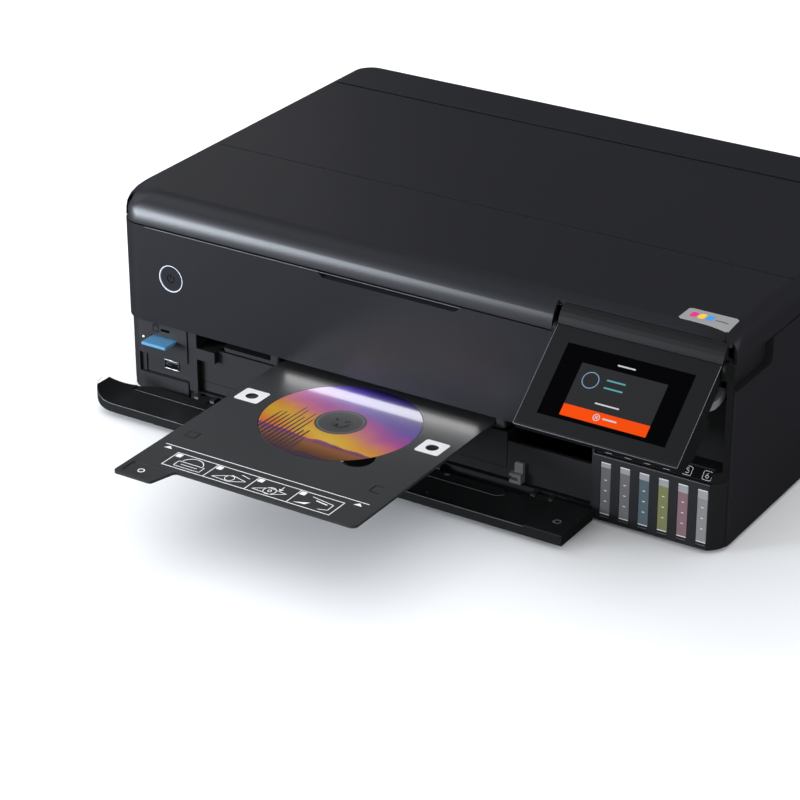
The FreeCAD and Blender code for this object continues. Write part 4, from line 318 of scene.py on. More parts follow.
grain, grain_in, grain_out = shader_group(
    "moulded_grain",
    [("Colour", "Color", (0.1, 0.1, 0.1, 1.0)), ("Roughness", "Float", 0.4),
     ("Grain", "Float", 1600.0), ("Drift", "Float", 0.12)],
    [("Colour", "Color"), ("Roughness", "Float"), ("Height", "Float")])
fine = noise(grain, grain_in.outputs["Grain"], 2.0)
broad = noise(grain, 9.0, 3.0)
shade = calc(grain, "MULTIPLY_ADD", broad, grain_in.outputs["Drift"], 0.94)
speck = calc(grain, "MULTIPLY_ADD", fine, grain_in.outputs["Drift"], shade)
scaled = add_node(grain, "VectorMath")
scaled.operation = "SCALE"
wire(grain, (grain_in.outputs["Colour"], scaled.inputs[0]), (speck, scaled.inputs["Scale"]),
     (scaled.outputs[0], grain_out.inputs["Colour"]))
uneven = calc(grain, "MULTIPLY_ADD", fine, 0.10, -0.05)
wire(grain, (calc(grain, "ADD", grain_in.outputs["Roughness"], uneven), grain_out.inputs["Roughness"]),
     (fine, grain_out.inputs["Height"]))
print("group", grain.name, "sockets", len(grain.interface.items_tree))

# %% [markdown]
# Three families of finish cover the case. Plastic takes the grain group with its own colour and
# roughness. Metal takes a brushed version, noise stretched along one axis. Clear and lit parts stay plain.
# Writing one short function for each family keeps the values in a table that reads like a paint list.

# %% Finishes
def plastic(name, colour, roughness=0.42, grain_size=1600.0, bump=0.12, coat=0.0, drift=0.12):
    """Moulded plastic from the grain group."""
    finish, tree, skin = new_finish(name)
    effect = add_node(tree, "Group")
    effect.node_tree = grain
    dial(effect, Colour=(*colour, 1.0), Roughness=roughness, Grain=grain_size, Drift=drift)
    relief = add_node(tree, "Bump")
    dial(relief, Strength=bump, Distance=0.00005)
    wire(tree, (effect.outputs["Colour"], skin.inputs["Base Color"]),
         (effect.outputs["Roughness"], skin.inputs["Roughness"]),
         (effect.outputs["Height"], relief.inputs["Height"]),
         (relief.outputs["Normal"], skin.inputs["Normal"]))
    dial(skin, Coat_Weight=coat, Coat_Roughness=0.12)
    return finish


def paint(name, colour, roughness=0.5):
    """A plain print or paint with hardly any grain."""
    return plastic(name, colour, roughness, 900.0, 0.02)


def matte(finish, level):
    """Sets how strongly a finish mirrors."""
    dial(skin_of(finish), Specular_IOR_Level=level)


def metal(name, colour, roughness=0.28, stretch=(4.0, 900.0, 900.0)):
    """Brushed metal: noise stretched along one axis of the object."""
    finish, tree, skin = new_finish(name)
    dial(skin, Metallic=1.0)
    place = add_node(tree, "TexCoord")
    comb = add_node(tree, "Mapping")
    dial(comb, Scale=stretch)
    tree.links.new(place.outputs["Object"], comb.inputs["Vector"])
    lines = noise(tree, 1.0, 3.0, comb.outputs["Vector"])
    tone = blend(tree, lines, [c * 0.78 for c in colour], colour)
    wire(tree, (tone, skin.inputs["Base Color"]),
         (calc(tree, "MULTIPLY_ADD", lines, 0.16, roughness - 0.08), skin.inputs["Roughness"]))
    return finish


def glow(name, colour, strength, roughness=0.4):
    """A lit or printed surface that keeps its own colour."""
    finish = paint(name, colour, roughness)
    dial(skin_of(finish), Emission_Color=(*colour, 1.0), Emission_Strength=strength)
    return finish


CASE = plastic("case_satin", (0.0145, 0.0143, 0.0175), 0.36, 1500.0, 0.10)
CASE_GLOSS = plastic("front_satin", (0.0135, 0.0132, 0.0162), 0.30, 1500.0, 0.06)
CASE_MATT = plastic("case_matt", (0.0105, 0.0105, 0.012), 0.50, 1300.0, 0.16)
TRAY_FINISH = plastic("tray_satin", (0.026, 0.026, 0.027), 0.40, 1400.0, 0.10)
CASSETTE_FINISH = plastic("cassette_matt", (0.012, 0.012, 0.013), 0.46, 1400.0, 0.12)
MECH_FINISH = plastic("mechanism_plastic", (0.05, 0.05, 0.052), 0.5, 1200.0, 0.15)
GREY_FINISH = plastic("light_grey_plastic", (0.15, 0.15, 0.155), 0.4, 1200.0, 0.1)
WHITE_FINISH = plastic("backing_white", (0.80, 0.80, 0.77), 0.6, 700.0, 0.08, drift=0.05)
INK_WHITE = plastic("printed_white", (0.84, 0.84, 0.84), 0.5, 900.0, 0.03, drift=0.04)
RUBBER = plastic("rubber", (0.016, 0.016, 0.016), 0.82, 900.0, 0.4)
PANEL_MATT = plastic("panel_matt", (0.0085, 0.0088, 0.009), 0.5, 1500.0, 0.08)
matte(PANEL_MATT, 0.22)
CARD_FINISH = plastic("card_blue", (0.080, 0.245, 0.43), 0.35, 1400.0, 0.06)
MOTOR_FINISH = plastic("motor_paint", (0.12, 0.12, 0.125), 0.35, 800.0, 0.05)
STEEL = metal("brushed_steel", (0.56, 0.57, 0.58))
TURNED_STEEL = metal("turned_steel", (0.60, 0.60, 0.61), 0.2, (900.0, 30.0, 30.0))
print("finishes", len(bpy.data.materials))

# %% [markdown]
# A CAD node already has the right shape, so it only needs its finish. Assigning a material to the node's
# own slot keeps its mesh untouched. The six ink tanks are tinted clear plastic with their own colours;
# the scanner's bed is real glass, and the touch panel is black glass with a mirror-like coat.

# %% Clear and tinted finishes
def tinted(name, colour, roughness, clear):
    """Tinted clear plastic that still shows some of its own colour."""
    finish = plastic(name, colour, roughness, 700.0, 0.02, 0.0, 0.05)
    dial(skin_of(finish), Transmission_Weight=clear, IOR=1.45)
    return finish


CLEAR_GLASS = new_finish("scanner_glass")[0]
dial(skin_of(CLEAR_GLASS), Base_Color=(0.93, 0.97, 0.96, 1.0), Roughness=0.02, Transmission_Weight=1.0)
BLACK_GLASS = plastic("panel_black_glass", (0.0008, 0.0008, 0.001), 0.10, 500.0, 0.01, 0.0, 0.02)
matte(BLACK_GLASS, 0.2)
RING_GLOW = glow("ring_light", (0.72, 0.80, 0.90), 0.35)
INK_COLOURS = [(0.150, 0.146, 0.150), (0.165, 0.160, 0.165), (0.100, 0.138, 0.157),
               (0.215, 0.22, 0.10), (0.25, 0.155, 0.172), (0.26, 0.256, 0.26)]
TANK_FINISHES = [tinted(f"tank_ink_{i + 1}", colour, 0.16, 0.25) for i, colour in enumerate(INK_COLOURS)]

# %% Give every CAD node its finish
NODE_FINISH = {
    CASE: "document_cover rear_feed_cover left_side_cover right_side_cover",
    CASE_GLOSS: "front_panel power_button",
    PANEL_MATT: "panel_housing control_panel_front control_panel_back front_cover",
    CASE_MATT: "rear_cover base_chassis platen_frame scanner_tub card_reader_panel front_frame"
               " ink_tank_housing duplex_cover tank_cover card_socket power_inlet rear_sockets",
    CASSETTE_FINISH: "photo_cassette output_tray paper_guide_left paper_guide_right"
                     " feed_guide_left feed_guide_right",
    MECH_FINISH: "paper_path_deck print_carriage paper_support scan_bar drive_pulley idler_pulley rear_frame",
    GREY_FINISH: "panel_stays tank_caps",
    WHITE_FINISH: "cover_liner",
    RUBBER: "feet timing_belt",
    STEEL: "guide_rail pulley_brackets usb_port",
    TURNED_STEEL: "hinge_pins",
    MOTOR_FINISH: "carriage_motor",
    CARD_FINISH: "memory_card",
    BLACK_GLASS: "touch_screen",
    CLEAR_GLASS: "scanner_glass",
    RING_GLOW: "button_ring",
}


def finish_node(name, finish):
    """Puts one material on a CAD node."""
    mesh = nodes[name].data
    mesh.materials.clear()
    mesh.materials.append(finish)


for finish, names in NODE_FINISH.items():
    for name in names.split():
        finish_node(name, finish)
print("finished", sum(len(names.split()) for names in NODE_FINISH.values()), "of", len(nodes), "nodes")

# %% [markdown]
# Some pieces change finish along their length: a roller is a steel shaft with rubber sleeves, and the lower
# cassette carries a grey latch. Cutting them up in CAD would be wrong, because each is one body. A mask made
# from Object coordinates picks the finish instead: inside a box the mask is one, outside it is zero.

# %% Shared effect: box mask
box_mask, mask_in, mask_out = shader_group(
    "box_mask",
    [("Middle", "Vector", (0.0, 0.0, 0.0)), ("Half Size", "Vector", (0.01, 0.01, 0.01))],
    [("Mask", "Float")])
where = add_node(box_mask, "TexCoord")
offset = add_node(box_mask, "VectorMath")
offset.operation = "SUBTRACT"
distance = add_node(box_mask, "VectorMath")
distance.operation = "ABSOLUTE"
room = add_node(box_mask, "VectorMath")
room.operation = "SUBTRACT"
parts = add_node(box_mask, "SeparateXYZ")
wire(box_mask, (where.outputs["Object"], offset.inputs[0]),
     (mask_in.outputs["Middle"], offset.inputs[1]), (offset.outputs[0], distance.inputs[0]),
     (mask_in.outputs["Half Size"], room.inputs[0]), (distance.outputs[0], room.inputs[1]),
     (room.outputs[0], parts.inputs[0]))
least = calc(box_mask, "MINIMUM", parts.outputs[0], parts.outputs[1])
least = calc(box_mask, "MINIMUM", least, parts.outputs[2])
box_mask.links.new(calc(box_mask, "GREATER_THAN", least, 0.0), mask_out.inputs["Mask"])


def masked_box(tree, low, high):
    """A box mask between two measured corners."""
    effect = add_node(tree, "Group")
    effect.node_tree = box_mask
    a, b = at(*low), at(*high)
    dial(effect, Middle=(a + b) / 2, Half_Size=(b - a) / 2)
    return effect.outputs["Mask"]


def repaint(finish, name, mask_of, colour, metallic=None, roughness=None):
    """A copy of a finish that turns into another colour where a mask is one."""
    copy = finish.copy()
    copy.name = name
    tree = copy.node_tree
    skin = skin_of(copy)
    mask = mask_of(tree)
    old = skin.inputs["Base Color"].links[0].from_socket
    tree.links.new(blend(tree, mask, old, colour), skin.inputs["Base Color"])
    if metallic is not None:
        tree.links.new(calc(tree, "MULTIPLY", mask, metallic), skin.inputs["Metallic"])
    if roughness is not None:
        old = skin.inputs["Roughness"].links[0].from_socket
        mix = add_node(tree, "Mix")
        wire(tree, (mask, mix.inputs[0]), (old, mix.inputs[2]))
        mix.inputs[3].default_value = roughness
        tree.links.new(mix.outputs[0], skin.inputs["Roughness"])
    return copy


LATCHED = repaint(CASSETTE_FINISH, "cassette_with_latch",
                  lambda tree: masked_box(tree, (91, -2, 14), (102, 7.99, 31)), (0.13, 0.13, 0.135))
finish_node("paper_cassette", LATCHED)
TANK_X0, TANK_STEP, WINDOW_LOW, WINDOW_HIGH = 169.755, 15.39, 8.55, 50.65
FILL_LEVELS = (46.5, 45.5, 45.0, 44.5, 44.0, 43.5)
HEADSPACE = (0.34, 0.35, 0.355)
for i, level in enumerate(FILL_LEVELS):
    x = TANK_X0 + i * TANK_STEP
    low, high = (x - 4.2, -60.0, level), (x + 4.2, 60.0, WINDOW_HIGH + 0.2)
    half_full = repaint(TANK_FINISHES[i], f"tank_ink_{i + 1}_level",
                        lambda tree: masked_box(tree, low, high), HEADSPACE)
    finish_node(f"ink_tank_{i + 1}", half_full)
print("group", box_mask.name)

# %% [markdown]
# A roller's shaft and sleeves differ by radius, not by place along the shaft, so the next mask measures the
# distance from the shaft's own line. Inside the radius it is steel, outside it is rubber.

# %% Rollers
def shaft_mask(tree, y, z, radius):
    """One inside a radius round a line along X."""
    places = object_xyz(tree)
    centre = at(0, y, z)
    dy = calc(tree, "SUBTRACT", places[1], centre.y)
    dz = calc(tree, "SUBTRACT", places[2], centre.z)
    square = calc(tree, "ADD", calc(tree, "POWER", dy, 2.0), calc(tree, "POWER", dz, 2.0))
    return calc(tree, "LESS_THAN", square, (radius / 1000.0) ** 2)


for name, low_part in (("feed_roller", 4.2), ("eject_roller", 3.2)):
    low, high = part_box(name)
    middle_y = (low.y + high.y) / 2 * 1000 - FRAME_SHIFT_Y
    middle_z = (low.z + high.z) / 2 * 1000
    rolled = repaint(RUBBER, f"{name}_finish", lambda tree: shaft_mask(tree, middle_y, middle_z, low_part),
                     (0.55, 0.56, 0.57), 1.0, 0.3)
    finish_node(name, rolled)
    print(name, "axis at", round(middle_y, 2), round(middle_z, 2))

# %% [markdown]
# The top rounds over its front edge in narrow flat strips, which would show as bands in a bright
# reflection. A welded copy of the same shape stands in for the cover, with its shading carried smoothly
# from strip to strip. Normals weighted by face area keep the large flat faces flat.

# %% Smooth skin on the cover
SKIN_SHARP = math.radians(25)
WELD = 2e-6
source = nodes["document_cover"]
skin_mesh = source.data.copy()
skin_mesh.transform(source.matrix_world)
welded = bmesh.new()
welded.from_mesh(skin_mesh)
bmesh.ops.remove_doubles(welded, verts=welded.verts, dist=WELD)
welded.to_mesh(skin_mesh)
welded.free()
if "custom_normal" in skin_mesh.attributes:
    skin_mesh.attributes.remove(skin_mesh.attributes["custom_normal"])
skin_mesh.shade_smooth()
skin_mesh.set_sharp_from_angle(angle=SKIN_SHARP)
carrier = add_object("cover_skin_base", skin_mesh)
weights = carrier.modifiers.new("weights", "WEIGHTED_NORMAL")
weights.keep_sharp = True
cover_skin = ride_with("cover_skin", evaluated(carrier, weights, "cover_skin"), "document_cover")
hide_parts("document_cover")
print("cover skin", len(cover_skin.data.polygons), "faces")

# %% [markdown]
# The disc shows a dusk over water: a violet sky that warms to magenta, orange and yellow, a low sun, far
# hills, their reflection, and reeds in front. It could be an image, but a picture file can't travel with
# the part, so the scene is drawn with shader nodes in the disc's own plane. One pair of coordinates runs
# across the picture and up it. Each motif is a mask made by comparing "up" with a simple curve of "across".

# %% The printed disc
DISC_X, DISC_Y, DISC_R, TRAY_TOP = -18.8, -53.7, 60.0, 56.8
PICTURE_TURN = math.radians(-2.0)


def colour_steps(tree, value, steps):
    """A colour ramp from (place, colour) pairs."""
    ramp = add_node(tree, "ValToRGB")
    marks = ramp.color_ramp.elements
    while len(marks) > 1:
        marks.remove(marks[-1])
    marks[0].position = steps[0][0]
    marks[0].color = (*steps[0][1], 1.0)
    for place, colour in steps[1:]:
        mark = marks.new(place)
        mark.color = (*colour, 1.0)
    tree.links.new(value, ramp.inputs["Fac"])
    return ramp.outputs["Color"]


disc_print, art, art_skin = new_finish("disc_print")
art_place = add_node(art, "TexCoord")
art_map = add_node(art, "Mapping")
art_map.vector_type = "TEXTURE"
dial(art_map, Location=at(DISC_X, DISC_Y, TRAY_TOP), Rotation=(0.0, 0.0, PICTURE_TURN),
     Scale=(DISC_R / 1000, DISC_R / 1000, 1.0))
art.links.new(art_place.outputs["Object"], art_map.inputs["Vector"])
art_xy = add_node(art, "SeparateXYZ")
art.links.new(art_map.outputs["Vector"], art_xy.inputs[0])
across, up = art_xy.outputs[0], art_xy.outputs[1]
clouds = noise(art, 2.2, 4.0, art_map.outputs["Vector"])
drifting = calc(art, "MULTIPLY_ADD", clouds, 0.36, calc(art, "SUBTRACT", up, 0.18))
slanted = calc(art, "MULTIPLY_ADD", across, 0.30, drifting)
sky_place = calc(art, "MULTIPLY_ADD", slanted, 0.5, 0.5)
SKY_STEPS = [(0.0, (0.40, 0.07, 0.005)), (0.16, (0.55, 0.13, 0.004)), (0.28, (0.56, 0.31, 0.006)),
             (0.40, (0.55, 0.20, 0.02)), (0.50, (0.46, 0.09, 0.17)), (0.60, (0.33, 0.04, 0.25)),
             (0.72, (0.11, 0.05, 0.30)), (0.86, (0.035, 0.022, 0.17)), (1.0, (0.015, 0.008, 0.06))]
sky = colour_steps(art, sky_place, SKY_STEPS)


def hill_line(scale, height, base, lean):
    """Mask that is one below a wavy line."""
    wave = add_node(art, "TexNoise")
    wave.noise_dimensions = "1D"
    dial(wave, Scale=scale, Detail=3.0)
    art.links.new(across, wave.inputs["W"])
    line = calc(art, "MULTIPLY_ADD", wave.outputs["Fac"], height, base)
    line = calc(art, "MULTIPLY_ADD", across, lean, line)
    return calc(art, "LESS_THAN", up, line)


sun_x = calc(art, "SUBTRACT", across, 0.16)
sun_y = calc(art, "SUBTRACT", up, -0.44)
sun_far = far_from(art, sun_x, sun_y)
halo = calc(art, "MULTIPLY", calc(art, "SUBTRACT", 1.0, calc(art, "MINIMUM", sun_far, 1.0)), 0.62)
halo = calc(art, "POWER", halo, 2.0)
warm = blend(art, halo, sky, (0.62, 0.48, 0.05))
far_hills = blend(art, hill_line(2.4, 0.16, -0.62, -0.03), warm, (0.20, 0.04, 0.14))
near_hills = blend(art, hill_line(4.5, 0.12, -0.66, 0.03), far_hills, (0.07, 0.012, 0.05))
water_line = calc(art, "LESS_THAN", up, -0.60)
ripple = add_node(art, "TexWave")
ripple.bands_direction = "Y"
dial(ripple, Scale=9.0, Distortion=4.0, Detail=3.0)
art.links.new(art_map.outputs["Vector"], ripple.inputs["Vector"])
mirrored = calc(art, "MULTIPLY_ADD", up, -1.2, -0.55)
water = colour_steps(art, calc(art, "MULTIPLY_ADD", ripple.outputs["Fac"], 0.20, mirrored),
                     [(0.18, (0.16, 0.03, 0.10)), (0.30, (0.26, 0.09, 0.01)), (0.48, (0.12, 0.035, 0.004)),
                      (0.80, (0.04, 0.012, 0.004))])
scene_art = blend(art, water_line, near_hills, water)
reed_wave = calc(art, "SINE", calc(art, "MULTIPLY", across, 95.0))
reed_wander = calc(art, "SINE", calc(art, "MULTIPLY", across, 31.0))
tuft = calc(art, "POWER", calc(art, "ADD", across, 0.52), 2.0)
tuft_top = calc(art, "MULTIPLY_ADD", tuft, -4.2, 0.02)
reed_top = calc(art, "MULTIPLY_ADD", reed_wander, 0.13, tuft_top)
reed_lean = calc(art, "GREATER_THAN", reed_wave, calc(art, "MULTIPLY_ADD", up, 0.9, 0.72))
reeds = calc(art, "MULTIPLY", reed_lean, calc(art, "LESS_THAN", up, reed_top))
bank = hill_line(3.0, 0.16, -0.98, 0.0)
dark_front = calc(art, "MAXIMUM", reeds, bank)
scene_art = blend(art, dark_front, scene_art, (0.035, 0.012, 0.03))
from_hub = far_from(art, across, up)
hub = calc(art, "LESS_THAN", from_hub, 19.3 / DISC_R)
scene_art = blend(art, hub, scene_art, (0.040, 0.039, 0.039))
from_ring = calc(art, "ABSOLUTE", calc(art, "SUBTRACT", from_hub, 17.0 / DISC_R))
stack_ring = calc(art, "LESS_THAN", from_ring, 0.010)
scene_art = blend(art, stack_ring, scene_art, (0.12, 0.12, 0.12))
top_only = masked_box(art, (DISC_X - 61, DISC_Y - 61, TRAY_TOP - 0.3),
                      (DISC_X + 61, DISC_Y + 61, TRAY_TOP + 0.5))
scene_art = blend(art, top_only, (0.62, 0.62, 0.66), scene_art)
art.links.new(scene_art, art_skin.inputs["Base Color"])
dial(art_skin, Roughness=0.32, Coat_Weight=0.6, Coat_Roughness=0.08)
finish_node("disc", disc_print)
finish_node("disc_tray", TRAY_FINISH)
print("disc shader nodes", len(art.nodes))

# %% [markdown]
# Printing on plastic has almost no thickness, yet it sits on the surface rather than in it. Thin plates
# cut to outline do the same: a helper takes flat outlines in a plane, gives them a hair's thickness and
# joins them into one mesh, so one mark with many strokes is one object. Bars, rings and polygons are
# enough to draw every symbol here.

# %% Flat marks
def close_mesh(name, build, finish, body):
    """Runs a bmesh builder and turns the result into a finished piece riding on a body."""
    mesh = bpy.data.meshes.new(name)
    shape = bmesh.new()
    build(shape)
    bmesh.ops.recalc_face_normals(shape, faces=shape.faces)
    shape.to_mesh(mesh)
    shape.free()
    mesh.materials.append(finish)
    return ride_with(name, mesh, body)


def prism(shape, outline, place, thickness):
    """Adds a closed prism: an outline in a plane, raised by a thickness. place(u, v, w) gives the point."""
    low = [shape.verts.new(place(u, v, 0.0)) for u, v in outline]
    high = [shape.verts.new(place(u, v, thickness)) for u, v in outline]
    shape.faces.new(list(reversed(low)))
    shape.faces.new(high)
    count = len(outline)
    for i in range(count):
        j = (i + 1) % count
        shape.faces.new((low[i], low[j], high[j], high[i]))


def rounded(u0, v0, u1, v1, radius, steps=5):
    """Rounded rectangle outline."""
    corners = [(u1 - radius, v1 - radius, 0), (u0 + radius, v1 - radius, 90),
               (u0 + radius, v0 + radius, 180), (u1 - radius, v0 + radius, 270)]
    points = []
    for cu, cv, start in corners:
        for i in range(steps + 1):
            angle = math.radians(start + 90.0 * i / steps)
            points.append((cu + radius * math.cos(angle), cv + radius * math.sin(angle)))
    return points


def bar(start, end, width):
    """Outline of a straight stroke."""
    a, b = Vector(start), Vector(end)
    side = Vector((-(b - a).y, (b - a).x)).normalized() * width / 2
    return [tuple(a + side), tuple(a - side), tuple(b - side), tuple(b + side)]


def line(width, *points):
    """Outlines of straight strokes from each point to the next."""
    return [bar(a, b, width) for a, b in zip(points, points[1:])]


def arc(centre, radius, width, start, end, steps):
    """Outlines of a curved stroke, as short pieces that share their ends' places."""
    inner, outer = radius - width / 2, radius + width / 2
    outlines = []
    for i in range(steps):
        a = math.radians(start + (end - start) * i / steps)
        b = math.radians(start + (end - start) * (i + 1) / steps)
        outlines.append([(centre[0] + far * math.cos(angle), centre[1] + far * math.sin(angle))
                         for far, angle in ((inner, a), (outer, a), (outer, b), (inner, b))])
    return outlines


def draw(name, finish, body, slot, *layers):
    """One piece from layers, each a plane, a thickness and the outlines raised on it."""
    def build(shape):
        for place, thickness, outlines in layers:
            for outline in outlines:
                prism(shape, outline, place, thickness)
    close_mesh(name, build, finish, body)


def on_top(z):
    """Plane facing up at a height."""
    return lambda u, v, w: at(u, v, z + w)


def on_front(y):
    """Plane facing forward at a depth."""
    return lambda u, v, w: at(u, y - w, v)


print("flat marks ready")

# %% [markdown]
# The disc tray is printed with everything a user needs to load it: a white square round each aiming hole,
# a line and two arrows that show how far to push, corner marks, and a strip of four small pictures.
# The pictures here are plain shapes of a tray, a disc, an arrow and a slot, with no words.

# %% Printing on the disc tray
PRINT = 0.05
PICTURES_X0, PICTURES_X1, PICTURES_Y0, PICTURES_Y1 = -90.3, 51.6, -174.9, -154.9
PICTURE_WIDTH = 35.475


def subdivided(outline, parts):
    """The same outline with every edge cut into equal parts."""
    points = []
    for (u0, v0), (u1, v1) in zip(outline, outline[1:] + outline[:1]):
        points += [(u0 + (u1 - u0) * i / parts, v0 + (v1 - v0) * i / parts) for i in range(parts)]
    return points


def tray_squares(shape):
    for x0, x1 in ((-109.0, -88.0), (49.0, 68.7)):
        middle = ((x0 + x1) / 2, -52.3)
        outline = subdivided(rounded(x0, -62.0, x1, -42.5, 2.0), 5)
        count = len(outline)
        angles = [math.atan2(v - middle[1], u - middle[0]) for u, v in outline]
        hole = [(middle[0] + 4.9 * math.cos(a), middle[1] + 4.9 * math.sin(a)) for a in angles]
        outer_low, outer_high, inner_low, inner_high = [
            [shape.verts.new(at(u, v, z)) for u, v in points]
            for points in (outline, hole) for z in (TRAY_TOP - 0.3, TRAY_TOP + PRINT)]
        for i in range(count):
            j = (i + 1) % count
            shape.faces.new((outer_high[i], outer_high[j], inner_high[j], inner_high[i]))
            shape.faces.new((outer_low[j], outer_low[i], inner_low[i], inner_low[j]))
            shape.faces.new((outer_low[i], outer_low[j], outer_high[j], outer_high[i]))
            shape.faces.new((inner_low[j], inner_low[i], inner_high[i], inner_high[j]))


DIVIDERS = [PICTURES_X0 + i * PICTURE_WIDTH for i in range(5)]
PUSH_LINES = line(0.7, (-106.5, -147.9), (67.3, -147.9))
PUSH_LINES += [[(x - 3.4, -153.2), (x + 3.4, -153.2), (x, -149.6)] for x in (-101.0, 61.0)]
for y in (PICTURES_Y0, PICTURES_Y1):
    PUSH_LINES += line(0.7, (PICTURES_X0 - 0.35, y), (PICTURES_X1 + 0.35, y))
for x in DIVIDERS:
    PUSH_LINES += line(0.7, (x, PICTURES_Y0 + 0.35), (x, PICTURES_Y1 - 0.35))
for x in DIVIDERS[:4]:
    u, v = x + 3.4, PICTURES_Y1 - 3.4
    PUSH_LINES.append(rounded(u - 2.3, v - 2.3, u + 2.3, v + 2.3, 0.5))

# each picture's marks, measured from that picture's own lower left corner
PICTURES = (
    (arc((19, 9), 9.0, 0.7, 15, 165, 14), line(0.6, (8, 3), (30, 3), (30, 10), (8, 10), (8, 3)),
     line(0.6, (12, 6.5), (26, 6.5))),
    (line(0.6, (5, 4), (18, 12), (31, 9), (20, 3), (5, 4)), arc((18, 7.6), 3.6, 0.6, 0, 360, 16),
     line(0.6, (23, 16), (31, 14))),
    (line(0.6, (4, 4), (15, 11), (30, 9), (20, 3), (4, 4)), arc((17, 7.2), 4.8, 0.7, 0, 360, 18),
     arc((17, 7.2), 1.4, 0.6, 0, 360, 10), line(0.6, (23, 17), (23, 12.5)),
     [[(21, 13), (25, 13), (23, 10.6)]]),
    (line(0.6, (12, 16), (31, 13), (31, 5), (24, 3)), line(1.1, (17, 12.5), (27, 11)),
     [[(4, 3), (15, 8), (13, 4)]]))
picture_outlines = [[(x + u, PICTURES_Y0 + v) for u, v in outline]
                    for x, marks in zip(DIVIDERS, PICTURES) for mark in marks for outline in mark]
TAB = (-97.0, -190.0)
tab_outlines = arc(TAB, 2.3, 0.9, 20, 200, 12) + arc(TAB, 2.3, 0.9, 215, 380, 12)
corner_outlines = []
for x, y, away in ((-102.6, -122.8, 8.3), (55.7, -121.2, 8.0)):
    corner_outlines += [bar((x, y - 9.0), (x, y), 0.7), bar((x + 0.35, y - 0.35), (x + away, y - 0.35), 0.7)]

DARK_PRINT = paint("dark_print", (0.008, 0.008, 0.008), 0.6)
close_mesh("tray_aiming_squares", tray_squares, INK_WHITE, "disc_tray")
for name, height, outlines in (("tray_push_lines", 0.0, PUSH_LINES), ("tray_pictures", 0.0, picture_outlines),
                               ("tray_tab_symbol", -0.6, tab_outlines)):
    draw(name, INK_WHITE, "disc_tray", "white_plastic", (on_top(TRAY_TOP + height), PRINT, outlines))
draw("tray_corner_marks", DARK_PRINT, "disc_tray", "tray_plastic", (on_top(TRAY_TOP), PRINT, corner_outlines))
print("tray printing made")

# %% [markdown]
# The control panel tilts, so its marks are drawn in the panel's own plane: across the printer, down the
# face from the hinge seam, and out from the glass. One helper turns those three into a place in the frame.
# The picture on the screen is a plain progress page: a status ring, a few bars where text would stand and
# an orange button. Lit marks give off a little of their own colour, because a screen lights itself.

# %% The panel's plane
PANEL_TILT = math.radians(50.0)
SEAM_Y, SEAM_Z = 0.415, 150.949
GLASS_DEPTH = 0.15


def on_panel(depth):
    """Plane of the tilting panel at a depth behind its face: across, down the face, outward."""
    def place(across_mm, down_mm, out_mm):
        behind = depth - out_mm
        y = SEAM_Y - down_mm * math.sin(PANEL_TILT) + behind * math.cos(PANEL_TILT)
        z = SEAM_Z - down_mm * math.cos(PANEL_TILT) - behind * math.sin(PANEL_TILT)
        return at(across_mm, y, z)
    return place


screen_face = on_panel(GLASS_DEPTH)
SCREEN_GREY = glow("screen_grey", (0.0115, 0.0115, 0.012), 0.8)
SCREEN_ORANGE = glow("screen_orange", (0.43, 0.033, 0.0005), 0.6)
SCREEN_TEAL = glow("screen_teal", (0.045, 0.155, 0.165), 0.8)
SCREEN_WHITE = glow("screen_white", (0.26, 0.26, 0.26), 0.8)
SCREEN_RING = glow("screen_ring", (0.09, 0.145, 0.21), 0.8)
for finish in (SCREEN_GREY, SCREEN_ORANGE, SCREEN_TEAL, SCREEN_WHITE, SCREEN_RING):
    matte(finish, 0.05)
PAGE_LEFT, PAGE_RIGHT, PAGE_TOP, PAGE_LOW, PAGE_BAR = 159.6, 226.6, 23.3, 64.8, 55.8
LAYER = 0.02


def page_area(top, low):
    """A full-width area of the page."""
    return [(PAGE_LEFT, top), (PAGE_RIGHT, top), (PAGE_RIGHT, low), (PAGE_LEFT, low)]


def word_bars(*rows):
    """Short bars that stand where words would."""
    return [rounded(x, down - width / 2, x + length, down + width / 2, width * 0.4, 3)
            for x, down, length, width in rows]


def raised_face(across_mm, down_mm, out_mm):
    """The screen's plane, one layer higher."""
    return screen_face(across_mm, down_mm, out_mm + LAYER)


RINGS = arc((171.0, 34.6), 6.1, 0.7, 0, 360, 32)
CANCEL = arc((186.7, 60.0), 2.4, 0.6, 0, 360, 20) + [bar((185.6, 58.9), (187.8, 61.1), 0.6)]
TEAL_BARS = word_bars((182.5, 31.5, 14.6, 1.2), (182.5, 37.4, 14.8, 1.2))
WHITE_BARS = word_bars((185.5, 18.8, 14.0, 1.1), (181.2, 50.0, 18.8, 1.1), (191.3, 59.8, 11.0, 1.2))
for name, finish, *layers in (
        ("page", SCREEN_GREY, (screen_face, LAYER, [page_area(PAGE_TOP, PAGE_BAR)])),
        ("button", SCREEN_ORANGE, (screen_face, LAYER, [page_area(PAGE_BAR, PAGE_LOW)])),
        ("ring", SCREEN_RING, (raised_face, LAYER, RINGS)),
        ("teal_lines", SCREEN_TEAL, (raised_face, LAYER, TEAL_BARS)),
        ("white_lines", SCREEN_WHITE, (raised_face, LAYER, WHITE_BARS)),
        ("cancel_sign", SCREEN_WHITE, (raised_face, LAYER, CANCEL),
         (raised_face, LAYER * 0.9, [bar((185.6, 61.1), (187.8, 58.9), 0.6)]))):
    draw("screen_" + name, finish, "control_panel", "screen", *layers)
print("screen page", PAGE_RIGHT - PAGE_LEFT, "by", round(PAGE_LOW - PAGE_TOP, 1), "mm")

# %% [markdown]
# The case carries a few small prints and inlays. The nameplate lies where the top starts to round over, so
# a flat plate would float at one end. It is draped instead: rays drop onto the cover's own surface from a
# grid of points, and the plate follows whatever they hit.

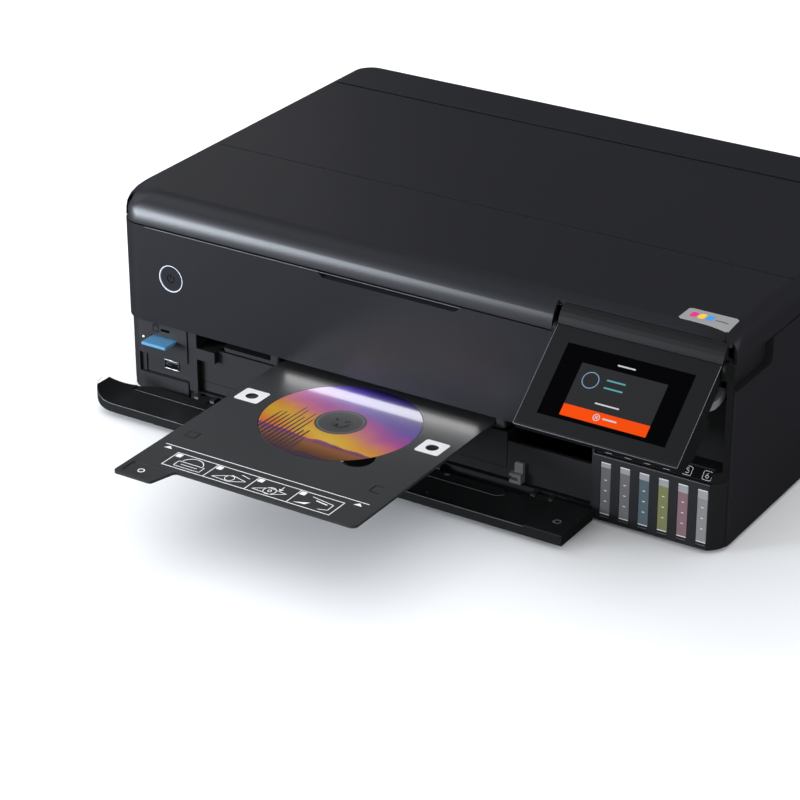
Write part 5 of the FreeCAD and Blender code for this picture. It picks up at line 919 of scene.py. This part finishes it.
# %% Nameplate
def surface_of(name):
    """Search tree over a CAD node's faces, in the frame."""
    node = nodes[name]
    points = [node.matrix_world @ v.co for v in node.data.vertices]
    return BVHTree.FromPolygons(points, [tuple(p.vertices) for p in node.data.polygons])


cover_surface = surface_of("document_cover")


def draped_plate(shape, x0, y0, x1, y1, radius, low, high, columns=24, rows=12):
    """A rounded plate between two heights above the cover's surface."""
    layers = []
    for height in (low, high):
        grid = []
        for j in range(rows + 1):
            y = y0 + (y1 - y0) * j / rows
            edge = max(radius - (y - y0), radius - (y1 - y), 0.0)
            cut = radius - math.sqrt(max(radius * radius - edge * edge, 0.0))
            row = []
            for i in range(columns + 1):
                x = x0 + cut + (x1 - x0 - 2 * cut) * i / columns
                hit = cover_surface.ray_cast(at(x, y, 200), Vector((0, 0, -1)))[0]
                row.append(shape.verts.new(hit + Vector((0, 0, height / 1000))))
            grid.append(row)
        layers.append(grid)
    low_grid, high_grid = layers
    for j in range(rows):
        for i in range(columns):
            for grid, order in ((high_grid, 1), (low_grid, -1)):
                square = (grid[j][i], grid[j][i + 1], grid[j + 1][i + 1], grid[j + 1][i])
                shape.faces.new(square[::order])
    rim = [(0, i) for i in range(columns)] + [(j, columns) for j in range(rows)]
    rim += [(rows, i) for i in range(columns, 0, -1)] + [(j, 0) for j in range(rows, 0, -1)]
    for (j0, i0), (j1, i1) in zip(rim, rim[1:] + rim[:1]):
        shape.faces.new((low_grid[j0][i0], low_grid[j1][i1], high_grid[j1][i1], high_grid[j0][i0]))


PLATE_SILVER = plastic("nameplate_silver", (0.30, 0.30, 0.30), 0.34, 1800.0, 0.05, drift=0.05)
PLATE = (213.0, 19.5, 251.5, 39.0)
PLATE_THICK = 0.08
close_mesh("nameplate", lambda shape: draped_plate(shape, *PLATE, 2.0, -0.05, PLATE_THICK), PLATE_SILVER,
           "document_cover")
PATCHES = (("magenta", (0.72, 0.02, 0.20)), ("yellow", (0.90, 0.52, 0.03)), ("cyan", (0.03, 0.30, 0.72)))
PATCH_LOW, PATCH_HIGH = PLATE_THICK - 0.05, PLATE_THICK + 0.03
for i, (label, colour) in enumerate(PATCHES):
    x = PLATE[0] + 5.0 + i * 6.2
    close_mesh(f"nameplate_patch_{label}",
               lambda shape: draped_plate(shape, x, 26.0, x + 5.2, 34.0, 1.4, PATCH_LOW, PATCH_HIGH, 6, 8),
               paint(f"patch_{label}", colour, 0.4), "document_cover")
close_mesh("nameplate_line",
           lambda shape: draped_plate(shape, PLATE[0] + 24.5, 28.0, PLATE[2] - 4.0, 29.6, 0.7,
                                      PATCH_LOW, PATCH_HIGH, 8, 4),
           paint("patch_grey", (0.12, 0.12, 0.12)), "document_cover")
print("nameplate draped over", len(nodes["document_cover"].data.polygons), "faces")

# %% [markdown]
# The front's own marks follow: a power sign on the button, a card outline and a lamp over the card slot,
# and a small turning arrow on the folded cover's end block. They reuse the same strokes and arcs.

# %% Front marks
# Dark finish for the embossed signs, and for the painted shade in the tray's finger recess.
EMBOSS_AND_RECESS_SHADE = paint("embossed_dark_and_recess_shade", (0.0020, 0.0020, 0.0022), 0.7)
matte(EMBOSS_AND_RECESS_SHADE, 0.0)
SOFT_MARK = paint("soft_grey_mark", (0.16, 0.16, 0.165))
LAMP_CREAM = glow("card_lamp", (0.95, 0.88, 0.70), 0.6)


def front_of(name):
    """Depth of a node's front face, in measured millimetres."""
    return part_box(name)[0].y * 1000 - FRAME_SHIFT_Y


BUTTON_X, BUTTON_Z = -210.1, 105.7
LIT_RING_R = 10.95
lit = RING_GLOW.node_tree
lit_skin = skin_of(RING_GLOW)
lit_places = object_xyz(lit)
ring_middle = at(BUTTON_X, 0, BUTTON_Z)
side_way = calc(lit, "SUBTRACT", lit_places[0], ring_middle.x)
up_way = calc(lit, "SUBTRACT", lit_places[2], ring_middle.z)
ring_far = far_from(lit, side_way, up_way)
lit_ring = calc(lit, "LESS_THAN", ring_far, LIT_RING_R / 1000)
wire(lit,
     (blend(lit, lit_ring, (0.012, 0.012, 0.013), (0.60, 0.68, 0.78)), lit_skin.inputs["Base Color"]),
     (blend(lit, lit_ring, (0.0, 0.0, 0.0), (0.60, 0.68, 0.78)), lit_skin.inputs["Emission Color"]))
button_face, reader_face = on_front(front_of("power_button")), on_front(front_of("card_reader_panel"))
SIGN_X, SIGN_Z = -228.5, 59.2
card_corners = [(SIGN_X + u, SIGN_Z + v)
                for u, v in ((-2.6, -3.2), (2.6, -3.2), (2.6, 3.2), (-1.2, 3.2), (-2.6, 1.8))]
card_outlines = line(0.5, *card_corners, card_corners[0])
for i in range(3):
    x = SIGN_X - 1.0 + i * 1.3
    card_outlines += line(0.45, (x, SIGN_Z + 0.9), (x, SIGN_Z + 2.3))
ARROW = (150.2, -30.3)
arrow_outlines = arc(ARROW, 2.5, 0.75, 30, 200, 14) + arc(ARROW, 2.5, 0.75, 225, 370, 12)
arrow_outlines.append([(146.6, -31.3), (148.9, -31.3), (147.7, -33.2)])
RECESS_X, RECESS_Y, RECESS_R = 23.0, -93.5, 12.0


def finger_recess_shade():
    """Outline of a dark half moon of painted shade for the finger recess, where a finger lifts the disc's
    rim.
    """
    rim = DISC_R + 0.4
    gap = math.hypot(RECESS_X - DISC_X, RECESS_Y - DISC_Y)
    heading = math.atan2(RECESS_Y - DISC_Y, RECESS_X - DISC_X)
    spread = math.acos((gap * gap + rim * rim - RECESS_R * RECESS_R) / (2 * gap * rim))
    inner = [heading + spread - 2 * spread * i / 10 for i in range(11)]
    outline = [(DISC_X + rim * math.cos(a), DISC_Y + rim * math.sin(a)) for a in inner]
    first = math.atan2(outline[-1][1] - RECESS_Y, outline[-1][0] - RECESS_X)
    last = math.atan2(outline[0][1] - RECESS_Y, outline[0][0] - RECESS_X)
    sweep = (last - first) % (2 * math.pi)
    turns = [first + sweep * i / 20 for i in range(1, 20)]
    return outline + [(RECESS_X + RECESS_R * math.cos(a), RECESS_Y + RECESS_R * math.sin(a)) for a in turns]


# Painted shade: a flat dark half moon on the tray top stands for the shade inside the finger recess.
draw("finger_recess_shade", EMBOSS_AND_RECESS_SHADE, "disc_tray", "tray_plastic", (on_top(TRAY_TOP), 0.03, [finger_recess_shade()]))
draw("power_sign", EMBOSS_AND_RECESS_SHADE, "power_button", "top_plastic",
     (button_face, 0.06, arc((BUTTON_X, BUTTON_Z), 3.2, 0.7, 125, 415, 26)
      + line(0.8, (BUTTON_X, BUTTON_Z + 0.6), (BUTTON_X, BUTTON_Z + 4.4))))
draw("card_sign", EMBOSS_AND_RECESS_SHADE, "body", "case_plastic", (reader_face, 0.05, card_outlines),
     (reader_face, 0.04, [rounded(-223.6, 57.4, -215.0, 59.6, 0.7)]))
draw("reader_lamp", LAMP_CREAM, "body", "light_ring",
     (reader_face, 0.15, arc((-240.9, 48.9), 0.45, 0.9, 0, 360, 16)))
draw("turning_arrow", SOFT_MARK, "front_cover", "top_plastic", (on_top(13.0), 0.05, arrow_outlines))
draw("cover_mark", SOFT_MARK, "front_cover", "top_plastic",
     (on_top(9.9), 0.05, [rounded(41.4, -7.4, 45.2, -4.6, 0.8)]),
     (on_top(10.4), 0.05, [rounded(45.6, -39.0, 47.0, -37.8, 0.4)]))
print("front marks made")

# %% [markdown]
# Sharp moulded edges catch the light as a thin line. The CAD solids keep their edges bare, so a painted
# highlight, a fine bead of paler plastic, follows the ones that show: round the folded cover, along its step
# and round the panel. Geometry Nodes sweep it: a chain of points becomes a curve, and a circle runs along it.

# %% Geometry nodes: sweep a bead
sweep = bpy.data.node_groups.new("bead_sweep", "GeometryNodeTree")
for label, way, kind in (("Geometry", "INPUT", "Geometry"), ("Radius", "INPUT", "Float"),
                         ("Finish", "INPUT", "Material"), ("Geometry", "OUTPUT", "Geometry")):
    sweep.interface.new_socket(label, in_out=way, socket_type="NodeSocket" + kind)
sweep_in, sweep_out = sweep.nodes.new("NodeGroupInput"), sweep.nodes.new("NodeGroupOutput")
path_curve, ring, tube, real, coat = [sweep.nodes.new("GeometryNode" + kind) for kind in (
    "MeshToCurve", "CurvePrimitiveCircle", "CurveToMesh", "RealizeInstances", "SetMaterial")]
dial(ring, Resolution=6)
dial(tube, Fill_Caps=True)
wire(sweep, (sweep_in.outputs["Geometry"], path_curve.inputs[0]),
     (sweep_in.outputs["Radius"], ring.inputs["Radius"]),
     (path_curve.outputs[0], tube.inputs["Curve"]), (ring.outputs["Curve"], tube.inputs["Profile Curve"]),
     (tube.outputs[0], real.inputs[0]), (real.outputs[0], coat.inputs["Geometry"]),
     (sweep_in.outputs["Finish"], coat.inputs["Material"]), (coat.outputs[0], sweep_out.inputs[0]))
SWEEP_SOCKETS = {item.name: item.identifier for item in sweep.interface.items_tree
                 if item.in_out == "INPUT"}
# Painted highlight: this pale grey stands for light caught by sharp edges, not for a paler plastic.
EDGE_HIGHLIGHT_PAINT = paint("edge_highlight", (0.16, 0.16, 0.17), 0.35)


def bead(name, points, radius, finish, body):
    """A thin tube along a path of measured points."""
    base = bpy.data.meshes.new(name + "_path")
    base.from_pydata([at(*point) for point in points], [(i, i + 1) for i in range(len(points) - 1)], [])
    carrier = add_object(name + "_base", base)
    modifier = carrier.modifiers.new(name, "NODES")
    modifier.node_group = sweep
    modifier[SWEEP_SOCKETS["Radius"]] = radius / 1000
    modifier[SWEEP_SOCKETS["Finish"]] = finish
    return ride_with(name, evaluated(carrier, modifier, name), body)


COVER_LEFT, COVER_FRONT, COVER_RIM_TOP = -261.0, -47.0, 11.4
BEND_X = COVER_LEFT + 26.0
BEND_R = (26.0 ** 2 + 9.0 ** 2) / 18.0


def curl(x):
    """Rise of the folded cover's curled left end."""
    run = max(BEND_X - x, 0.0)
    return BEND_R - math.sqrt(BEND_R * BEND_R - run * run)


# Painted highlight along the folded cover's front edge and round its curled left end.
edge_path = [(131.0, COVER_FRONT + 0.2, COVER_RIM_TOP)]
edge_path += [(x, COVER_FRONT + 0.2, COVER_RIM_TOP + curl(x)) for x in range(-234, -241, -2)]
for i in range(13):
    angle = math.radians(270 - 90.0 * i / 12)
    x, y = COVER_LEFT + 20.0 + 19.8 * math.cos(angle), COVER_FRONT + 20.0 + 19.8 * math.sin(angle)
    edge_path.append((x, y, COVER_RIM_TOP + curl(x)))
bead("cover_edge_painted_highlight", edge_path, 0.22, EDGE_HIGHLIGHT_PAINT, "front_cover")
# Painted highlight along the step on the folded cover.
step_path = [(-238.0, -16.0, 10.4 + curl(-238.0)), (-235.0, -16.0, 10.4), (88.5, -16.0, 10.4)]
for degrees in (20, 40, 60, 75):
    a = math.radians(degrees)
    step_path.append((88.5 + 7.0 * math.sin(a), -9.0 - 7.0 * math.cos(a), 10.4))
bead("cover_step_painted_highlight", step_path, 0.15, EDGE_HIGHLIGHT_PAINT, "front_cover")
panel_face = on_panel(0.0)


def panel_path(*corners):
    return [(*(panel_face(u, v, 0.0) * 1000 - Vector((0, FRAME_SHIFT_Y, 0))),) for u, v in corners]


# Painted highlight round the tilting panel's left, lower and right edges.
panel_edge = panel_path((129.7, 0.4), (129.7, 79.6), (130.6, 80.1), (256.6, 80.1), (257.3, 79.6),
                        (257.3, 0.4))
bead("panel_edge_painted_highlight", panel_edge, 0.2, EDGE_HIGHLIGHT_PAINT, "control_panel")
# Painted highlight along the front panel's top edge, under the cover's seam.
front_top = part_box("front_panel")[1].z * 1000
seam_path = [(x, -0.05, front_top - 0.5) for x in (-233.0, 50.0)]
bead("seam_painted_highlight", seam_path, 0.2, EDGE_HIGHLIGHT_PAINT, "body")
usb_y = front_of("usb_port") - 0.05
usb_path = [(x, usb_y, z) for x, z in ((-223.7, 24.6), (-209.9, 24.6), (-209.9, 31.8), (-223.7, 31.8),
                                       (-223.7, 24.7))]
bead("usb_rim", usb_path, 0.25, STEEL, "body")
print("beads on the cover, the panel, the seam and the port")

# %% [markdown]
# The ink windows are read against short level ticks, and a sloping strip above them carries one numbered
# frame for each tank. Both come from one list of tank centres, so six of each cost no more than one.

# %% Ink window marks
window_face = on_front(front_of("ink_tank_1"))
housing_face = on_front(front_of("ink_tank_housing"))
TICK_WHITE = paint("tick_white", (0.50, 0.50, 0.51))
# Painted highlight: a pale line under each window stands for light caught on the sill's edge.
SILL_HIGHLIGHT = paint("sill_highlight_line", (0.13, 0.13, 0.135), 0.45)
TANK_CENTRES = [TANK_X0 + i * TANK_STEP for i in range(6)]
TICK_LEVELS = (36.5, 28.0, 19.5)


tick_layers = []
for x in TANK_CENTRES:
    tick_layers.append((window_face, 0.06, [rounded(x - 0.9, level - 0.35, x + 1.1, level + 0.35, 0.3, 3)
                                            for level in TICK_LEVELS]))
    tick_layers.append((window_face, 0.05, [rounded(x - 3.7, low, x + 3.7, low + 0.8, 0.3, 3)
                                            for low in (WINDOW_LOW + 0.1, WINDOW_HIGH - 1.0)]))
draw("window_ticks", TICK_WHITE, "body", "light_plastic", *tick_layers)
# Painted highlight on the sill under each ink window.
draw("window_sill_highlights", SILL_HIGHLIGHT, "body", "case_plastic",
     (housing_face, 0.05, [bar((x - 3.6, 6.9), (x + 3.6, 6.9), 0.35) for x in TANK_CENTRES]))
print("marks on", len(TANK_CENTRES), "windows")

# %% Numbered frames on the sloping strip
STRIP_LOW_Y, STRIP_LOW_Z, STRIP_HIGH_Y, STRIP_HIGH_Z = 5.0, 57.2, 11.0, 64.0
slope = Vector((0, STRIP_HIGH_Y - STRIP_LOW_Y, STRIP_HIGH_Z - STRIP_LOW_Z)).normalized()
outward = Vector((0, -slope.z, slope.y))


def on_strip(across_mm, up_mm, out_mm):
    """Plane of the sloping strip: across, up the slope, outward."""
    spot = Vector((across_mm, STRIP_LOW_Y, STRIP_LOW_Z)) + slope * up_mm + outward * out_mm
    return at(*spot)


NUMERALS = {
    1: [(0.2, 1.2), (0.5, 1.6), (0.5, 0)],
    2: [(0, 1.3), (0.25, 1.6), (0.75, 1.6), (1, 1.3), (1, 1.05), (0, 0), (1, 0)],
    3: [(0, 1.6), (1, 1.6), (0.5, 0.95), (1, 0.6), (1, 0.25), (0.7, 0), (0.2, 0), (0, 0.25)],
    4: [(0.75, 0), (0.75, 1.6), (0, 0.5), (1, 0.5)],
    5: [(0.9, 1.6), (0.15, 1.6), (0.1, 0.95), (0.6, 1), (1, 0.7), (1, 0.3), (0.7, 0), (0.2, 0), (0, 0.2)],
    6: [(0.8, 1.6), (0.3, 1.2), (0, 0.6), (0, 0.3), (0.3, 0), (0.7, 0), (1, 0.3), (1, 0.6), (0.7, 0.9),
        (0.1, 0.7)],
}
FRAME_SIZE, FRAME_LIFT, GLYPH_SIZE = 6.6, 0.9, 2.3


frame_outlines = []
for number, x in enumerate(TANK_CENTRES, 1):
    left, right = x + 0.9 - FRAME_SIZE / 2, x + 0.9 + FRAME_SIZE / 2
    corners = rounded(left, FRAME_LIFT, right, FRAME_LIFT + FRAME_SIZE, 1.2, 3)
    frame_outlines += line(0.45, *corners, corners[0])
    frame_outlines += line(0.45, *[(left + 2.1 + u * GLYPH_SIZE, FRAME_LIFT + 1.5 + v * GLYPH_SIZE)
                                   for u, v in NUMERALS[number]])
STRIP_BLACK = plastic("strip_black", (0.0012, 0.0012, 0.0014), 0.28, 700.0, 0.02)
STRIP_WHITE = paint("strip_white", (0.42, 0.42, 0.43))
STRIP_LEFT, STRIP_RIGHT = 162.0, 251.5
draw("label_strip", STRIP_BLACK, "body", "case_plastic",
     (on_strip, 0.03, [[(STRIP_LEFT, 0.3), (STRIP_RIGHT, 0.3), (STRIP_RIGHT, 8.6), (STRIP_LEFT, 8.6)]]))
draw("label_frames", STRIP_WHITE, "body", "light_plastic", (on_strip, 0.04, frame_outlines))
# Painted highlight along the ledge's front edge under the label strip.
bead("ledge_painted_highlight", [(161.5, 0.15, 57.3), (253.5, 0.15, 57.3)], 0.16, EDGE_HIGHLIGHT_PAINT, "body")
print("frames for", len(TANK_CENTRES), "tanks")

# %% [markdown]
# Last, the sizes of the whole object are written down beside the frame's own, so that a reader can see at a
# glance whether anything added here sticks out of the CAD model.

# %% Sizes and finish
new_low, new_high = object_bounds()
corners = (("start_low", start_low), ("start_high", start_high), ("new_low", new_low), ("new_high", new_high))
for label, growth in (("low side", start_low - new_low), ("high side", new_high - start_high)):
    print("grew on the", label, "by", [round(v * 1000, 2) for v in growth])
